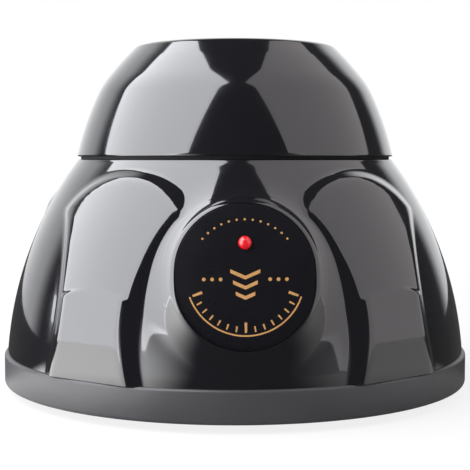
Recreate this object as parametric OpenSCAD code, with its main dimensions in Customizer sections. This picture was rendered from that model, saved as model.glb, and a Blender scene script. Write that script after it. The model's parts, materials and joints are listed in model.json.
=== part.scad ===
// Press-to-run shaker for nail polish bottles: a two-shell dome on a round base tray.
// A small motor on a sprung carriage swings a rubber cup round a 4 mm circle.
// Front is -Y, up is +Z, and the floor under the feet is z = 0.

/* [Base] */
// Outer radius of the base tray
base_r = 62.5; // [62:0.5:64]
// Height of the rubber feet
foot_h = 2; // [1.5:0.5:3]
// Top of the base tray, where the dome stands
tray_top = 10; // [9:0.5:11]
// Thickness of the tray floor
floor_t = 2.5; // [2:0.5:3]

/* [Shells] */
// Wall thickness of both shells
wall = 2.2; // [1.8:0.1:2.6]
// Height of the seam between the two shells
seam_z = 61.6; // [61:0.1:62]
// Open height of the seam groove
seam_gap = 0.8; // [0.6:0.1:1.2]
// Height of the rim round the cup opening
rim_z = 91.5; // [91:0.1:92]
// Radius of the opening in the top
mouth_r = 21.3; // [21:0.1:22]
// Radius of the lower dome's upright curve
dome_arc_r = 97.6; // [97:0.1:98]
// Radius of the upper shell's upright curve
crown_arc_r = 81.4; // [81:0.1:82]
// Radius of the shoulder that closes in to the rim
shoulder_arc_r = 90; // [89.8:0.1:90.4]

/* [Raised panels] */
// How far a panel hood stands out of the dome
hood_raise = 1.6; // [1.2:0.1:2]
// Half width of a panel on its own flat reference plane
panel_half = 12.2; // [11.8:0.1:12.6]
// Spread of the panel sides for each millimetre up the dome
panel_spread = 0.175; // [0.16:0.005:0.19]
// How far a panel's sloping wall runs out for each millimetre of its height
side_run = 1.25; // [1.1:0.05:1.4]

/* [Label pad] */
// Height of the label pad's centre
pad_z = 34.9; // [34:0.1:36]
// Radius of the round ends of the label plate
label_r = 15.9; // [15:0.1:16.5]
// Backward tilt of the label plate in degrees
pad_tilt = 14; // [13:0.5:15]
// Radius of the indicator lamp
lamp_r = 1.6; // [1.5:0.1:2]

/* [Drive] */
// Offset of the cup's axis from the motor shaft
orbit = 2; // [1.5:0.1:2]
// Travel of the carriage when the cup is pressed
press_travel = 2.5; // [2:0.1:2.5]
// Radius of the motor can
motor_r = 12.2; // [12:0.1:12.4]
// Distance of the guide posts from the axis
post_ring = 25; // [24.8:0.1:25.2]
// Coils in one return spring
spring_turns = 6; // [5:1:7]

/* [Cup] */
// Outer radius of the rubber cup
cup_r = 18; // [17.5:0.1:18]
// Radius of the cup's mouth
cup_mouth_r = 15.5; // [15:0.1:15.8]
// Radius of the bottom of the cup's well
cup_well_r = 8; // [7:0.1:8.5]

/* [Switches] */
// Height of the power inlet's centre
inlet_z = 18; // [17.5:0.1:18.5]
// Angle of the rocker switch round the dome from the front
rocker_angle = 144; // [142:1:146]
// Angle of the rocker paddle either side of level
rocker_tilt = 8; // [7:1:9]

/* [Hidden] */

// Facets of the round shells and of small round parts
fine = 180;
small = 48;
$fn = small;
// Overshoot of every cutting solid
eps = 0.5;
tray_z = foot_h;
floor_z = tray_z + floor_t;

// Base tray: inside of its rim, the low lip that centres the lower shell, and the feet
tray_rim_r = 57;
lip_r = 57.6;
lip_t = 1.5;
lip_h = 0.8;
foot_r = 6.5;
foot_stem_r = 2;
foot_ring = 46;

// Upright curves of the shells: centres in the radius and height plane
dome_arc_x = -35.7;
dome_arc_z = seam_z - 58.8;
crown_arc_x = -36.6;
crown_arc_z = seam_z - 17.6;
shoulder_arc_x = -36.35;
shoulder_arc_z = seam_z - 34.3;
lower_top = seam_z - seam_gap / 2;
upper_bottom = seam_z + seam_gap / 2;
flange_t = 2.4;
flange_r = 31;

// The dome carries five raised panels, the first and last either side of the front
PANEL_ANGLES = [36, 114, 180, 246, 324];
BOSS_ANGLES = [36, 108, 252, 324];
FOOT_ANGLES = [for (k = [0 : 4]) 72 * k];
THIRDS = [0, 120, 240];
panel_z = seam_z - 24;
panel_r = dome_radius(panel_z);
panel_lean = dome_lean(panel_z);

// Panels: lower end of the hood, round tops of the hood and column, and the column's upright curve,
// which is flush with the hood in the middle of the panel
hood_foot_z = tray_top + 18;
hood_arch = [2.75, 17.3];
column_arch = [-25, 19.5];
column_arc_x = -3.5;
column_arc_z = seam_z - 49.6;
column_arc_r = 65.73;

// Screw bosses
boss_r = 3.9;
base_boss_r = 53;
base_boss_foot = 7;
top_boss_r = 35.5;
TOP_BOSS_ANGLES = [60, 180, 300];

// Label pad
pad_y = 57;
pad_rim = 1.3;
pad_depth = 7;
recess = 0.5;
label_t = 0.45;
label_stretch = 1;
lamp_up = 7.8;

// Carriage: heights of the plate, the lugs and the spring seats
plate_z = 50;
plate_t = 3;
plate_r = 23.5;
lug_r = 4.2;
lug_top = 56;
post_r = 2;
post_foot = 8;
post_boss_top = 20;
post_top = lug_top + 0.05;
seat_z = 35.5;
seat_r = 4.4;
pin_ring = 17.5;
pin_r = 1.5;
pin_hole_r = pin_r + orbit + 0.4;
sleeve_r = 13.4;
cradle_r = 15.2;
cradle_z = 30;

// Rotor and bearing stack
shaft_r = 1;
shaft_top = 60.8;
hub_z = 54.2;
hub_top = 59.8;
hub_r = 7;
bearing_z = 60.4;
bearing_h = 5;
bearing_top = bearing_z + bearing_h;
bearing_in_r = 4;
bearing_out_r = 8;
holder_z = 68;
holder_t = 2;
cup_z = holder_z + holder_t;
cup_top = 90.5;
well_z = 80;

// Circuit board
board_x = 15.5;
board_y0 = 13;
board_y1 = 42;
board_z = 12;
board_t = 1.6;
board_top = board_z + board_t;
BOARD_HOLES = [[-12.5, 38.5], [12.5, 38.5], [-12.5, 28], [12.5, 25]];

// Return springs
spring_wire = 0.7;
spring_r = 3.1;

// Small switch below the pusher; its body clears the far end of the lever when pressed
pusher_x = 6;
pusher_z = 26;
pusher_w = 3;
switch_y = 17;
switch_w = 6;
lever_z = pusher_z - 0.4;
lever_l = 17;
lever_w = 4;
lever_hinge_x = -8;
lever_hinge_z = lever_z - 0.7;
lever_pin_r = 0.35;
switch_top = lever_z - 1.9 - press_travel;
plunger_x = -2.5;
plunger_z = switch_top - 1.2;

// Rocker
rocker_z = 25;
rocker_floor = -1.2;
paddle_w = 11.4;
paddle_l = 17;
pivot_w = -2;

// Radius of the dome's outer face at a height, with a step out of it
function dome_radius(z, out = 0) =
    dome_arc_x + sqrt(pow(dome_arc_r + out, 2) - pow(z - dome_arc_z, 2));

// Upward lean of the dome's face at a height
function dome_lean(z) = asin((z - dome_arc_z) / dome_arc_r);

// Place round the axis: angle 0 is the front, 90 is +X
function around(angle, r, z = 0) = [r * sin(angle), -r * cos(angle), z];

// Point p of a leaning face's own frame, in the part's frame
function face_point(angle, r, z, lean, p) =
    around(angle, r - p.y * sin(lean) + p.z * cos(lean), z + p.y * cos(lean) + p.z * sin(lean))
    + p.x * [cos(angle), sin(angle), 0];

function pad_point(p) = face_point(0, pad_y, pad_z, pad_tilt, p);

function rocker_point(p) =
    face_point(rocker_angle, dome_radius(rocker_z), rocker_z, dome_lean(rocker_z), p);

module turned() {
    rotate_extrude($fn = fine) children();
}

// Frame on a leaning face: X along the face, Y up it, Z out of it
module on_face(angle, r, z, lean) {
    rotate([0, 0, angle])
        translate([0, -r, z])
            rotate([90 - lean, 0, 0]) children();
}

// Everything behind a plane whose normal is n and whose distance from the origin is d
module behind(n, d) {
    reach = 160;
    unit = n / norm(n);
    rotate([0, acos(unit.z), atan2(unit.y, unit.x)])
        translate([-reach / 2, -reach / 2, d / norm(n) - reach])
            cube([reach, reach, reach]);
}

module tube(r_out, r_in, h) {
    difference() {
        cylinder(r = r_out, h = h);
        translate([0, 0, -eps]) cylinder(r = r_in, h = h + 2 * eps);
    }
}

module soft_square(x0, y0, x1, y1, r) {
    translate([x0 + r, y0]) square([x1 - x0 - 2 * r, y1 - y0]);
    translate([x0, y0 + r]) square([x1 - x0, y1 - y0 - 2 * r]);
    for (x = [x0 + r, x1 - r], y = [y0 + r, y1 - r]) translate([x, y]) circle(r = r);
}

// Pan-head screw, head down, with a cross recess
module screw(shank_r, length, head_r, head_h) {
    slot = head_r * 0.28;
    difference() {
        union() {
            translate([0, 0, -head_h]) cylinder(r = head_r, h = head_h);
            translate([0, 0, -eps / 2]) cylinder(r = shank_r, h = length + eps / 2);
        }
        for (a = [0, 90])
            rotate([0, 0, a])
                translate([-head_r * 0.6, -slot / 2, -head_h - eps])
                    cube([head_r * 1.2, slot, eps + head_h * 0.55]);
    }
}

// Smooth curve through a list of points, a few steps to each stretch
function smooth_route(points, steps = 4) =
    let (last = len(points) - 1)
        [for (k = [0 : last - 1], s = [0 : steps - 1])
            let (a = points[max(k - 1, 0)], b = points[k], c = points[k + 1],
                d = points[min(k + 2, last)], u = s / steps)
                b + u * ((c - a) / 2 + u * ((2 * a - 5 * b + 4 * c - d) / 2
                    + u * (3 * b - a - 3 * c + d) / 2)),
            points[last]];

// Direction of a route at each of its points
function route_heading(route) =
    [for (k = [0 : len(route) - 1])
        let (run = route[min(k + 1, len(route) - 1)] - route[max(k - 1, 0)]) run / norm(run)];

// Side directions carried along a route without twisting
function carried(heading, k, side) =
    let (flat = side - (side * heading[k]) * heading[k], unit = flat / norm(flat))
        k == len(heading) - 1 ? [unit] : concat([unit], carried(heading, k + 1, unit));

// One closed tube swept along a route
module swept_tube(route, d, sides = 8) {
    heading = route_heading(route);
    start = abs(heading[0].z) < 0.9 ? [0, 0, 1] : [1, 0, 0];
    side = carried(heading, 0, start);
    rings = len(route);
    points = [for (k = [0 : rings - 1], s = [0 : sides - 1])
        route[k] + d / 2 * (cos(360 * s / sides) * side[k]
            + sin(360 * s / sides) * cross(heading[k], side[k]))];
    faces = [
        [for (s = [0 : sides - 1]) s],
        for (k = [0 : rings - 2], s = [0 : sides - 1])
            each [
                [k * sides + s, (k + 1) * sides + s, k * sides + (s + 1) % sides],
                [(k + 1) * sides + s, (k + 1) * sides + (s + 1) % sides, k * sides + (s + 1) % sides]
            ],
        [for (s = [sides - 1 : -1 : 0]) (rings - 1) * sides + s]
    ];
    polyhedron(points, faces);
}

// Insulated lead through a list of points; its first and last stretches run straight
module lead(points, d = 1.2) {
    last = len(points) - 1;
    bend = smooth_route([for (k = [1 : last - 1]) points[k]]);
    swept_tube(concat([points[0]], bend, [points[last]]), d);
}

// ---------- base ----------

module base_tray() {
    color("#47464b")
        difference() {
            union() {
                turned() {
                    soft_square(tray_rim_r, tray_z, base_r, tray_top, 0.7);
                    translate([tray_rim_r, tray_z + 1]) square([3, tray_top - tray_z - 1]);
                    translate([0, tray_z]) square([tray_rim_r + 1, floor_t]);
                    translate([lip_r, tray_top - 1]) square([lip_t, 1 + lip_h]);
                }
                for (a = BOSS_ANGLES)
                    translate(around(a, base_boss_r, floor_z - eps))
                        cylinder(r = boss_r, h = base_boss_foot - floor_z + eps);
                for (a = THIRDS)
                    translate(around(a, post_ring, floor_z - eps))
                        cylinder(r = 5, h = post_boss_top - floor_z + eps);
                for (p = BOARD_HOLES)
                    translate([p.x, p.y, floor_z - eps])
                        cylinder(r = 2.4, h = board_z - floor_z + eps);
            }
            for (a = BOSS_ANGLES) translate(around(a, base_boss_r, tray_z - eps)) {
                cylinder(r = 3.1, h = 3 + eps);
                cylinder(r = 1.6, h = 2 * base_boss_foot);
            }
            for (a = THIRDS)
                translate(around(a, post_ring, post_foot)) cylinder(r = post_r, h = 20);
            for (p = BOARD_HOLES)
                translate([p.x, p.y, board_z - 6]) cylinder(r = 1, h = 10);
            for (a = FOOT_ANGLES)
                translate(around(a, foot_ring, tray_z - eps)) cylinder(r = foot_stem_r, h = 10);
        }
}

module rubber_feet() {
    color("#26262a")
        for (a = FOOT_ANGLES) translate(around(a, foot_ring)) {
            cylinder(r = foot_r, h = foot_h);
            cylinder(r = foot_stem_r, h = floor_z + eps);
            translate([0, 0, floor_z]) cylinder(r1 = 2.6, r2 = 1.6, h = 1.4);
        }
}

module base_screws() {
    color("silver")
        for (a = BOSS_ANGLES)
            translate(around(a, base_boss_r, tray_z + 3)) screw(1.5, 10, 2.8, 2.2);
}

// ---------- shells ----------

// Inside of the lower dome, as one solid
module dome_hollow() {
    turned()
        intersection() {
            translate([dome_arc_x, dome_arc_z]) circle(r = dome_arc_r - wall, $fn = 2 * fine);
            translate([0, -20]) square([80, lower_top - flange_t + 20]);
        }
}

// Outside of the lower dome, as one solid
module dome_outside() {
    turned()
        intersection() {
            translate([dome_arc_x, dome_arc_z]) circle(r = dome_arc_r, $fn = 2 * fine);
            translate([0, tray_top - eps]) square([base_r + 10, lower_top - tray_top + eps]);
        }
}

// Space between the two sloping sides of a panel, on the panel's own frame
module panel_sides() {
    side = [1, -panel_spread, side_run];
    intersection() {
        behind(side, panel_half);
        mirror([1, 0, 0]) behind(side, panel_half);
    }
}

// Round-topped space on the panel's own frame, with a sloping wall
module arch_space(arch) {
    depth = 9;
    proud = 6;
    half = 40;
    drop = 60;
    translate([0, arch.x, -depth])
        cylinder(r1 = arch.y + depth * side_run, r2 = arch.y - proud * side_run, h = depth + proud,
            $fn = fine);
    translate([-half, arch.x - drop, -depth]) cube([2 * half, drop, depth + proud]);
}

// Broad hood of a panel, following the dome
module panel_hood(angle) {
    intersection() {
        turned()
            intersection() {
                difference() {
                    translate([dome_arc_x, dome_arc_z])
                        circle(r = dome_arc_r + hood_raise, $fn = 2 * fine);
                    translate([dome_arc_x, dome_arc_z])
                        circle(r = dome_arc_r - wall / 2, $fn = 2 * fine);
                }
                translate([0, hood_foot_z]) square([base_r, seam_z]);
            }
        on_face(angle, panel_r, panel_z, panel_lean)
            intersection() {
                panel_sides();
                arch_space(hood_arch);
            }
    }
}

// Flat-fronted column below the hood
module panel_column(angle) {
    breadth = 34;
    depth = 6;
    intersection() {
        rotate([0, 0, angle])
            rotate([90, 0, -90])
                linear_extrude(height = breadth, center = true)
                    intersection() {
                        difference() {
                            translate([column_arc_x, column_arc_z])
                                circle(r = column_arc_r, $fn = 2 * fine);
                            translate([dome_arc_x - depth, dome_arc_z])
                                circle(r = dome_arc_r, $fn = 2 * fine);
                        }
                        translate([0, tray_top - eps]) square([base_r, panel_z]);
                    }
        on_face(angle, panel_r, panel_z, panel_lean)
            intersection() {
                panel_sides();
                arch_space(column_arch);
            }
    }
}

// Two-circle oval that matches the label plate
module label_oval(r, h) {
    for (y = [-label_stretch, label_stretch]) translate([0, y, 0]) cylinder(r = r, h = h, $fn = 96);
}

module on_pad() {
    on_face(0, pad_y, pad_z, pad_tilt) children();
}

module on_rocker() {
    on_face(rocker_angle, dome_radius(rocker_z), rocker_z, dome_lean(rocker_z)) children();
}

module lower_housing() {
    foot_cut = 10;
    pad_face_r = label_r + pad_rim;
    color("#141418")
        difference() {
            union() {
                difference() {
                    union() {
                        dome_outside();
                        for (a = PANEL_ANGLES) {
                            panel_hood(a);
                            panel_column(a);
                        }
                        on_pad()
                            for (y = [-label_stretch, label_stretch])
                                translate([0, y, -pad_depth])
                                    cylinder(r1 = pad_face_r + pad_depth, r2 = pad_face_r,
                                        h = pad_depth, $fn = 96);
                    }
                    dome_hollow();
                    // One level foot under the dome and the panels
                    translate([0, 0, tray_top - foot_cut]) cylinder(r = base_r + 10, h = foot_cut);
                    translate([0, 0, lower_top - 2 * flange_t]) cylinder(r = flange_r, h = 20);
                }
                // Screw towers, lamp boss, inlet boss and rocker seat behind the wall
                intersection() {
                    for (a = BOSS_ANGLES)
                        translate(around(a, base_boss_r, base_boss_foot)) cylinder(r = boss_r, h = 40);
                    translate([0, 0, -10])
                        turned()
                            translate([dome_arc_x, dome_arc_z + 10])
                                intersection() {
                                    circle(r = dome_arc_r - wall / 2, $fn = 2 * fine);
                                    translate([-dome_arc_x, 0]) square(100);
                                }
                }
                on_pad() translate([0, lamp_up, -9]) cylinder(r = 3.4, h = 5);
                translate([0, 54.5, inlet_z]) rotate([-90, 0, 0]) cylinder(r = 7, h = 5);
                on_rocker() translate([-10, -13.5, -4]) cube([20, 27, 3]);
            }
            on_pad() {
                translate([0, 0, -recess]) label_oval(label_r + 0.1, 5);
                translate([0, lamp_up, -12]) cylinder(r = lamp_r, h = 20);
                translate([0, lamp_up, -12]) cylinder(r = 2.1, h = 12 - 5.5);
            }
            translate([0, 50, inlet_z]) rotate([-90, 0, 0]) cylinder(r = 4.05, h = 20);
            translate([0, 61.2, inlet_z]) rotate([-90, 0, 0]) cylinder(r = 6, h = 10);
            on_rocker() {
                translate([-8.5, -11.5, rocker_floor]) cube([17, 23, 8]);
                translate([-7, -10.1, -10]) cube([14, 20.2, 20]);
            }
            for (a = BOSS_ANGLES)
                translate(around(a, base_boss_r, base_boss_foot - eps)) cylinder(r = 1.5, h = 11);
            for (a = TOP_BOSS_ANGLES)
                translate(around(a, top_boss_r, lower_top - 10)) cylinder(r = 1.6, h = 20);
        }
}

// Upper shell's outline for a step inward from its outer face
module crown_area(inset) {
    intersection() {
        translate([crown_arc_x, crown_arc_z]) circle(r = crown_arc_r - inset, $fn = 2 * fine);
        translate([shoulder_arc_x, shoulder_arc_z])
            circle(r = shoulder_arc_r - inset, $fn = 2 * fine);
        translate([0, lower_top - eps]) square([80, rim_z - lower_top + eps - inset]);
    }
}

module upper_housing() {
    rim_round = 2.4;
    rim_x = 25.73;
    step_r = 40.2;
    color("#141418")
        difference() {
            union() {
                turned() {
                    difference() {
                        crown_area(0);
                        crown_area(wall);
                        square([mouth_r + 1, 200]);
                        translate([step_r, 0]) square([20, upper_bottom]);
                        square([base_r, lower_top]);
                        // Outer corner of the rim, cut to a quarter round
                        difference() {
                            translate([rim_x, rim_z - rim_round])
                                polygon([[0, 0], [0, 9], [6, 9], [6, 4.3]]);
                            translate([rim_x, rim_z - rim_round]) circle(r = rim_round);
                        }
                    }
                    // Skirt round the cup
                    soft_square(mouth_r, rim_z - 9, mouth_r + 2.2, rim_z, 0.8);
                }
                intersection() {
                    for (a = TOP_BOSS_ANGLES)
                        translate(around(a, top_boss_r, lower_top)) cylinder(r = 3.5, h = 30);
                    turned() crown_area(wall / 2);
                }
            }
            for (a = TOP_BOSS_ANGLES)
                translate(around(a, top_boss_r, lower_top - eps)) cylinder(r = 1.5, h = 10);
        }
}

module housing_screws() {
    color("silver")
        for (a = TOP_BOSS_ANGLES)
            translate(around(a, top_boss_r, lower_top - flange_t)) screw(1.5, 10, 2.6, 2);
}

module label_plate() {
    color("#1b1b20")
        on_pad()
            difference() {
                translate([0, 0, -recess]) label_oval(label_r, label_t);
                translate([0, lamp_up, -2]) cylinder(r = lamp_r + 0.05, h = 4);
            }
}

module indicator_lamp() {
    color("#d21f2a")
        on_pad()
            translate([0, lamp_up, 0]) {
                translate([0, 0, -6.4]) cylinder(r = 2, h = 0.9);
                translate([0, 0, -6]) cylinder(r = lamp_r - 0.05, h = 6);
                intersection() {
                    sphere(r = lamp_r - 0.05);
                    translate([-5, -5, -0.2]) cube([10, 10, 10]);
                }
            }
}

module lamp_grommet() {
    color("#2b2b2e")
        on_pad()
            translate([0, lamp_up, -9])
                difference() {
                    cylinder(r = 2.1, h = 2.6);
                    for (x = [-0.9, 0.9]) translate([x, 0, -1]) cylinder(r = 0.35, h = 5);
                }
}

// ---------- guides and springs ----------

module guide_posts() {
    color("#c9ccd0")
        for (a = THIRDS) translate(around(a, post_ring))
            difference() {
                union() {
                    translate([0, 0, post_foot]) cylinder(r = post_r, h = post_top - post_foot);
                    translate([0, 0, seat_z - 1.6]) cylinder(r = seat_r, h = 1.6);
                }
                translate([0, 0, post_top - 7]) cylinder(r = 1.25, h = 10);
            }
}

module post_washers() {
    color("#d6d8da")
        for (a = THIRDS)
            translate(around(a, post_ring, post_top)) tube(4, 1.35, 0.8);
}

module post_screws() {
    color("silver")
        for (a = THIRDS)
            translate(around(a, post_ring, post_top + 0.8))
                rotate([180, 0, 0]) screw(1.25, 6.8, 2.2, 1.6);
}

// Coil spring between two heights; its least gap between turns is printed
module spring_coil(z0, z1) {
    steps = 16;
    low = z0 + spring_wire / 2 + 0.1;
    high = z1 - spring_wire / 2 - 0.1;
    count = steps * spring_turns;
    echo(coil_gap = (high - low) / spring_turns - spring_wire);
    swept_tube([for (k = [0 : count])
        [spring_r * cos(360 * k / steps), spring_r * sin(360 * k / steps),
            low + (high - low) * k / count]], spring_wire, 6);
}

module return_springs() {
    color("#b9bcc2")
        for (a = THIRDS) translate(around(a, post_ring)) spring_coil(seat_z, plate_z);
}

// ---------- electrics ----------

module circuit_board() {
    color("#1f6b3a")
        difference() {
            translate([-board_x, board_y0, board_z])
                cube([2 * board_x, board_y1 - board_y0, board_t]);
            for (p = BOARD_HOLES) translate([p.x, p.y, board_z - 1]) cylinder(r = 1.1, h = 5);
        }
}

module board_screws() {
    color("silver")
        for (p = BOARD_HOLES)
            translate([p.x, p.y, board_top]) rotate([180, 0, 0]) screw(1, 6, 1.8, 1.2);
}

module board_capacitor() {
    color("#2a3c6e")
        translate([-5, 33, board_top]) {
            cylinder(r = 4, h = 0.8);
            cylinder(r = 3.7, h = 2);
            translate([0, 0, 1.6]) cylinder(r = 4, h = 7.4);
        }
}

module board_regulator() {
    color("#202024")
        translate([5, 32, board_top]) {
            cube([5, 4, 8]);
            translate([0.5, 4, 3]) cube([4, 0.8, 8]);
        }
}

// Open-topped header that the motor leads dip into
module lead_header() {
    color("#e8e4d8")
        translate([-15.5, 17.5, board_top])
            difference() {
                cube([5, 8, 6]);
                translate([1, 1, 0.8]) cube([3, 6, 10]);
            }
}

module inlet_body() {
    color("#1a1a1c")
        translate([0, 0, inlet_z])
            rotate([-90, 0, 0])
                difference() {
                    union() {
                        translate([0, 0, 48]) cylinder(r = 4, h = 13.2);
                        translate([0, 0, 61.2]) cylinder(r = 5.5, h = 1.5);
                        for (y = [-2, 2]) translate([-0.4, y - 1, 44.5]) cube([0.8, 2, 4]);
                    }
                    translate([0, 0, 52]) cylinder(r = 2.9, h = 20);
                    translate([0, 0, 50]) cylinder(r = 0.8, h = 4);
                }
}

module inlet_pin() {
    color("#d8d8d8")
        translate([0, 50, inlet_z])
            rotate([-90, 0, 0]) {
                cylinder(r = 0.8, h = 3);
                translate([0, 0, 2]) cylinder(r = 1, h = 9.4);
                translate([0, 0, 11.4]) cylinder(r1 = 1, r2 = 0.7, h = 0.3);
            }
}

module inlet_nut() {
    color("#b5b8bc")
        translate([0, 52.1, inlet_z])
            rotate([-90, 0, 0])
                difference() {
                    cylinder(r = 6.2, h = 2.4, $fn = 6);
                    translate([0, 0, -1]) cylinder(r = 4.02, h = 5);
                }
}

module rocker_frame() {
    color("#101012")
        on_rocker()
            difference() {
                union() {
                    translate([-8.2, -11.2, rocker_floor]) cube([16.4, 22.4, 2]);
                    translate([-6.9, -10, -12]) cube([13.8, 20, 12]);
                }
                translate([-6, -9.2, -7]) cube([12, 18.4, 20]);
                translate([-6.6, 0, pivot_w]) rotate([0, 90, 0]) cylinder(r = 1.05, h = 13.2);
            }
}

module rocker_terminals() {
    color("#c9b27a")
        on_rocker() for (y = [-5, 3]) translate([-2.35, y, -17]) cube([4.7, 0.8, 5]);
}

module rocker_paddle() {
    color("#151517")
        on_rocker()
            translate([0, 0, pivot_w])
                rotate([rocker_tilt, 0, 0]) {
                    rotate([90, 0, 90])
                        linear_extrude(height = paddle_w, center = true)
                            polygon([[-paddle_l / 2, 4.4], [0, 3.2], [paddle_l / 2, 4.4],
                                [paddle_l / 2, 0], [3, -2.6], [-3, -2.6], [-paddle_l / 2, 0]]);
                    translate([-6.4, 0, 0]) rotate([0, 90, 0]) cylinder(r = 1, h = 12.8);
                }
}

module switch_body() {
    ear = 0.9;
    color("#17171a") {
        difference() {
            union() {
                translate([-10, switch_y - switch_w / 2, board_top]) cube([20, switch_w, switch_top - board_top]);
                for (y = [switch_y - switch_w / 2, switch_y + switch_w / 2 - ear])
                    translate([lever_hinge_x - 1, y, switch_top - eps])
                        cube([2, ear, lever_hinge_z + 0.8 - switch_top + eps]);
            }
            translate([plunger_x, switch_y, plunger_z - 1.4]) cylinder(r = 1.3, h = 10);
            for (x = [-7, 7])
                translate([x, switch_y - 4, board_top + 2.5]) rotate([-90, 0, 0]) cylinder(r = 1, h = 8);
        }
        translate([lever_hinge_x, switch_y + switch_w / 2 - 0.1, lever_hinge_z])
            rotate([90, 0, 0]) cylinder(r = lever_pin_r, h = switch_w - 0.2);
    }
}

module switch_plunger() {
    color("#b23a2e") translate([plunger_x, switch_y, plunger_z]) cylinder(r = 1.2, h = 4.5);
}

module switch_lever() {
    sheet = 0.5;
    color("#cfd2d6")
        difference() {
            union() {
                translate([lever_hinge_x, switch_y - lever_w / 2, lever_z - sheet])
                    cube([lever_l, lever_w, sheet]);
                translate([lever_hinge_x, switch_y + lever_w / 2, lever_hinge_z])
                    rotate([90, 0, 0]) cylinder(r = 0.9, h = lever_w);
            }
            translate([lever_hinge_x, switch_y + lever_w, lever_hinge_z])
                rotate([90, 0, 0]) cylinder(r = lever_pin_r + 0.05, h = 2 * lever_w);
        }
}

module inlet_leads() {
    color("#a32622") {
        lead([[0, 44.5, inlet_z + 2], [0, 43, inlet_z + 2], [2.8, 41, 17.5], [3.2, 39.5, 15.2],
            [3.2, 39.5, board_top]]);
        lead([[0, 44.5, inlet_z - 2], [0, 43.2, inlet_z - 2], [-2.6, 41.2, 15.9], [-3.2, 39.5, 15],
            [-3.2, 39.5, board_top]]);
    }
}

module rocker_leads() {
    color("#2a2a2c") {
        lead([rocker_point([0, 3.4, -17]), rocker_point([0, 3.4, -19]), [18, 30, 22],
            [14, 30, 18], [13, 30, 16], [13, 30, board_top]]);
        lead([rocker_point([0, -4.6, -17]), rocker_point([0, -4.6, -19]), [18.5, 34, 16.5],
            [14.2, 34, 16], [13, 34, 15.3], [13, 34, board_top]]);
    }
}

module lamp_leads() {
    color("#b8322c")
        for (k = [-1, 1])
            lead([pad_point([0.9 * k, lamp_up, -9]), pad_point([0.9 * k, lamp_up, -12 - 1.5 * k]),
                [-14, -38 + k, 29 + k], [-27 - k, -27 + k, 14], [-31 - k, -6 + k, 8],
                [-30 - k, 16 + k, 8], [-23 - k, 28 + k, 8.5], [-17, 33 + 1.5 * k, 9.5],
                [-14, 33.5 + 1.5 * k, 10.7], [-14, 33.5 + 1.5 * k, board_z]], 0.9);
}

// ---------- sprung carriage ----------

module motor_cradle() {
    color("#5c6066")
        difference() {
            union() {
                translate([0, 0, plate_z]) cylinder(r = plate_r, h = plate_t, $fn = 96);
                translate([0, 0, cradle_z]) cylinder(r = cradle_r, h = plate_z - cradle_z + 1, $fn = 96);
                for (a = THIRDS)
                    translate(around(a, post_ring, plate_z)) cylinder(r = lug_r, h = lug_top - plate_z);
                translate([pusher_x - pusher_w / 2, 13, pusher_z])
                    cube([pusher_w, switch_y + 1.5 - 13, plate_z - pusher_z + 1]);
            }
            translate([0, 0, cradle_z - eps - 10])
                cylinder(r = sleeve_r, h = plate_z - cradle_z + eps + 10, $fn = 96);
            translate([0, 0, plate_z - 1]) cylinder(r = 4, h = 10);
            for (a = THIRDS) {
                translate(around(a, post_ring, plate_z - 1)) cylinder(r = 3.2, h = 20);
                translate(around(a + 60, pin_ring, plate_z - 1)) cylinder(r = pin_hole_r, h = 20);
            }
            for (x = [-8, 8]) translate([x, 0, plate_z - 1]) {
                cylinder(r = 1.4, h = 10);
                translate([0, 0, 1 + plate_t - 1.2]) cylinder(r = 2.4, h = 10);
            }
        }
}

module guide_bushes() {
    color("#b08a4c")
        for (a = THIRDS)
            translate(around(a, post_ring, plate_z)) tube(3.2, post_r + 0.05, lug_top - plate_z);
}

module motor_sleeve() {
    color("#303034")
        translate([0, 0, cradle_z + 1]) tube(sleeve_r, motor_r, plate_z - cradle_z - 2, $fn = 96);
}

module motor_can() {
    color("#a9adb2")
        difference() {
            union() {
                translate([0, 0, 21.2]) cylinder(r = motor_r, h = plate_z - 21.2, $fn = 96);
                translate([0, 0, plate_z - 0.1]) cylinder(r = 3.9, h = 1.4);
            }
            translate([0, 0, 20]) cylinder(r = motor_r - 0.8, h = 29, $fn = 96);
            translate([0, 0, 40]) cylinder(r = 2.9, h = 20);
            for (x = [-8, 8]) translate([x, 0, 45]) cylinder(r = 1.25, h = 10);
        }
}

module motor_magnets() {
    color("#3a3a3e")
        for (a = [25, 205])
            translate([0, 0, 26])
                rotate([0, 0, a])
                    rotate_extrude(angle = 130, $fn = 96)
                        translate([9.4, 0]) square([motor_r - 0.8 - 9.4, 19]);
}

module motor_end_cap() {
    color("#e6e2d6")
        difference() {
            union() {
                translate([0, 0, 19.5]) cylinder(r = motor_r - 0.2, h = 1.7, $fn = 96);
                translate([0, 0, 21]) cylinder(r = motor_r - 0.8, h = 3, $fn = 96);
            }
            translate([0, 0, 20.5]) cylinder(r = 2.9, h = 10);
        }
}

module motor_bushes() {
    color("#b08a4c") {
        translate([0, 0, 20.5]) tube(2.9, shaft_r + 0.04, 3);
        translate([0, 0, 48.3]) tube(2.9, shaft_r + 0.04, 3);
    }
}

module motor_terminals() {
    color("#c9b27a") for (x = [-8, 8]) translate([x - 0.25, -1.25, 15.5]) cube([0.5, 2.5, 4]);
}

module motor_screws() {
    color("silver")
        for (x = [-8, 8])
            translate([x, 0, plate_z + plate_t - 1.2]) rotate([180, 0, 0]) screw(1.25, 5, 2.3, 1.15);
}

module motor_leads() {
    color("#a32622") {
        lead([[-8.25, 0, 17.5], [-9.5, 0, 17.5], [-11.4, 1.5, 17.6], [-14.5, 10, 20], [-13, 19.8, 25],
            [-13, 19.8, 17.5]]);
        lead([[8.25, 0, 17.5], [9.5, 0, 17.5], [9.8, 3, 17.4], [6, 9.5, 17.3], [-3, 11, 17.3],
            [-8, 10.5, 20], [-10.5, 14, 27], [-13, 23.2, 28], [-13, 23.2, 17.5]]);
    }
}

// ---------- rotor ----------

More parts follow.
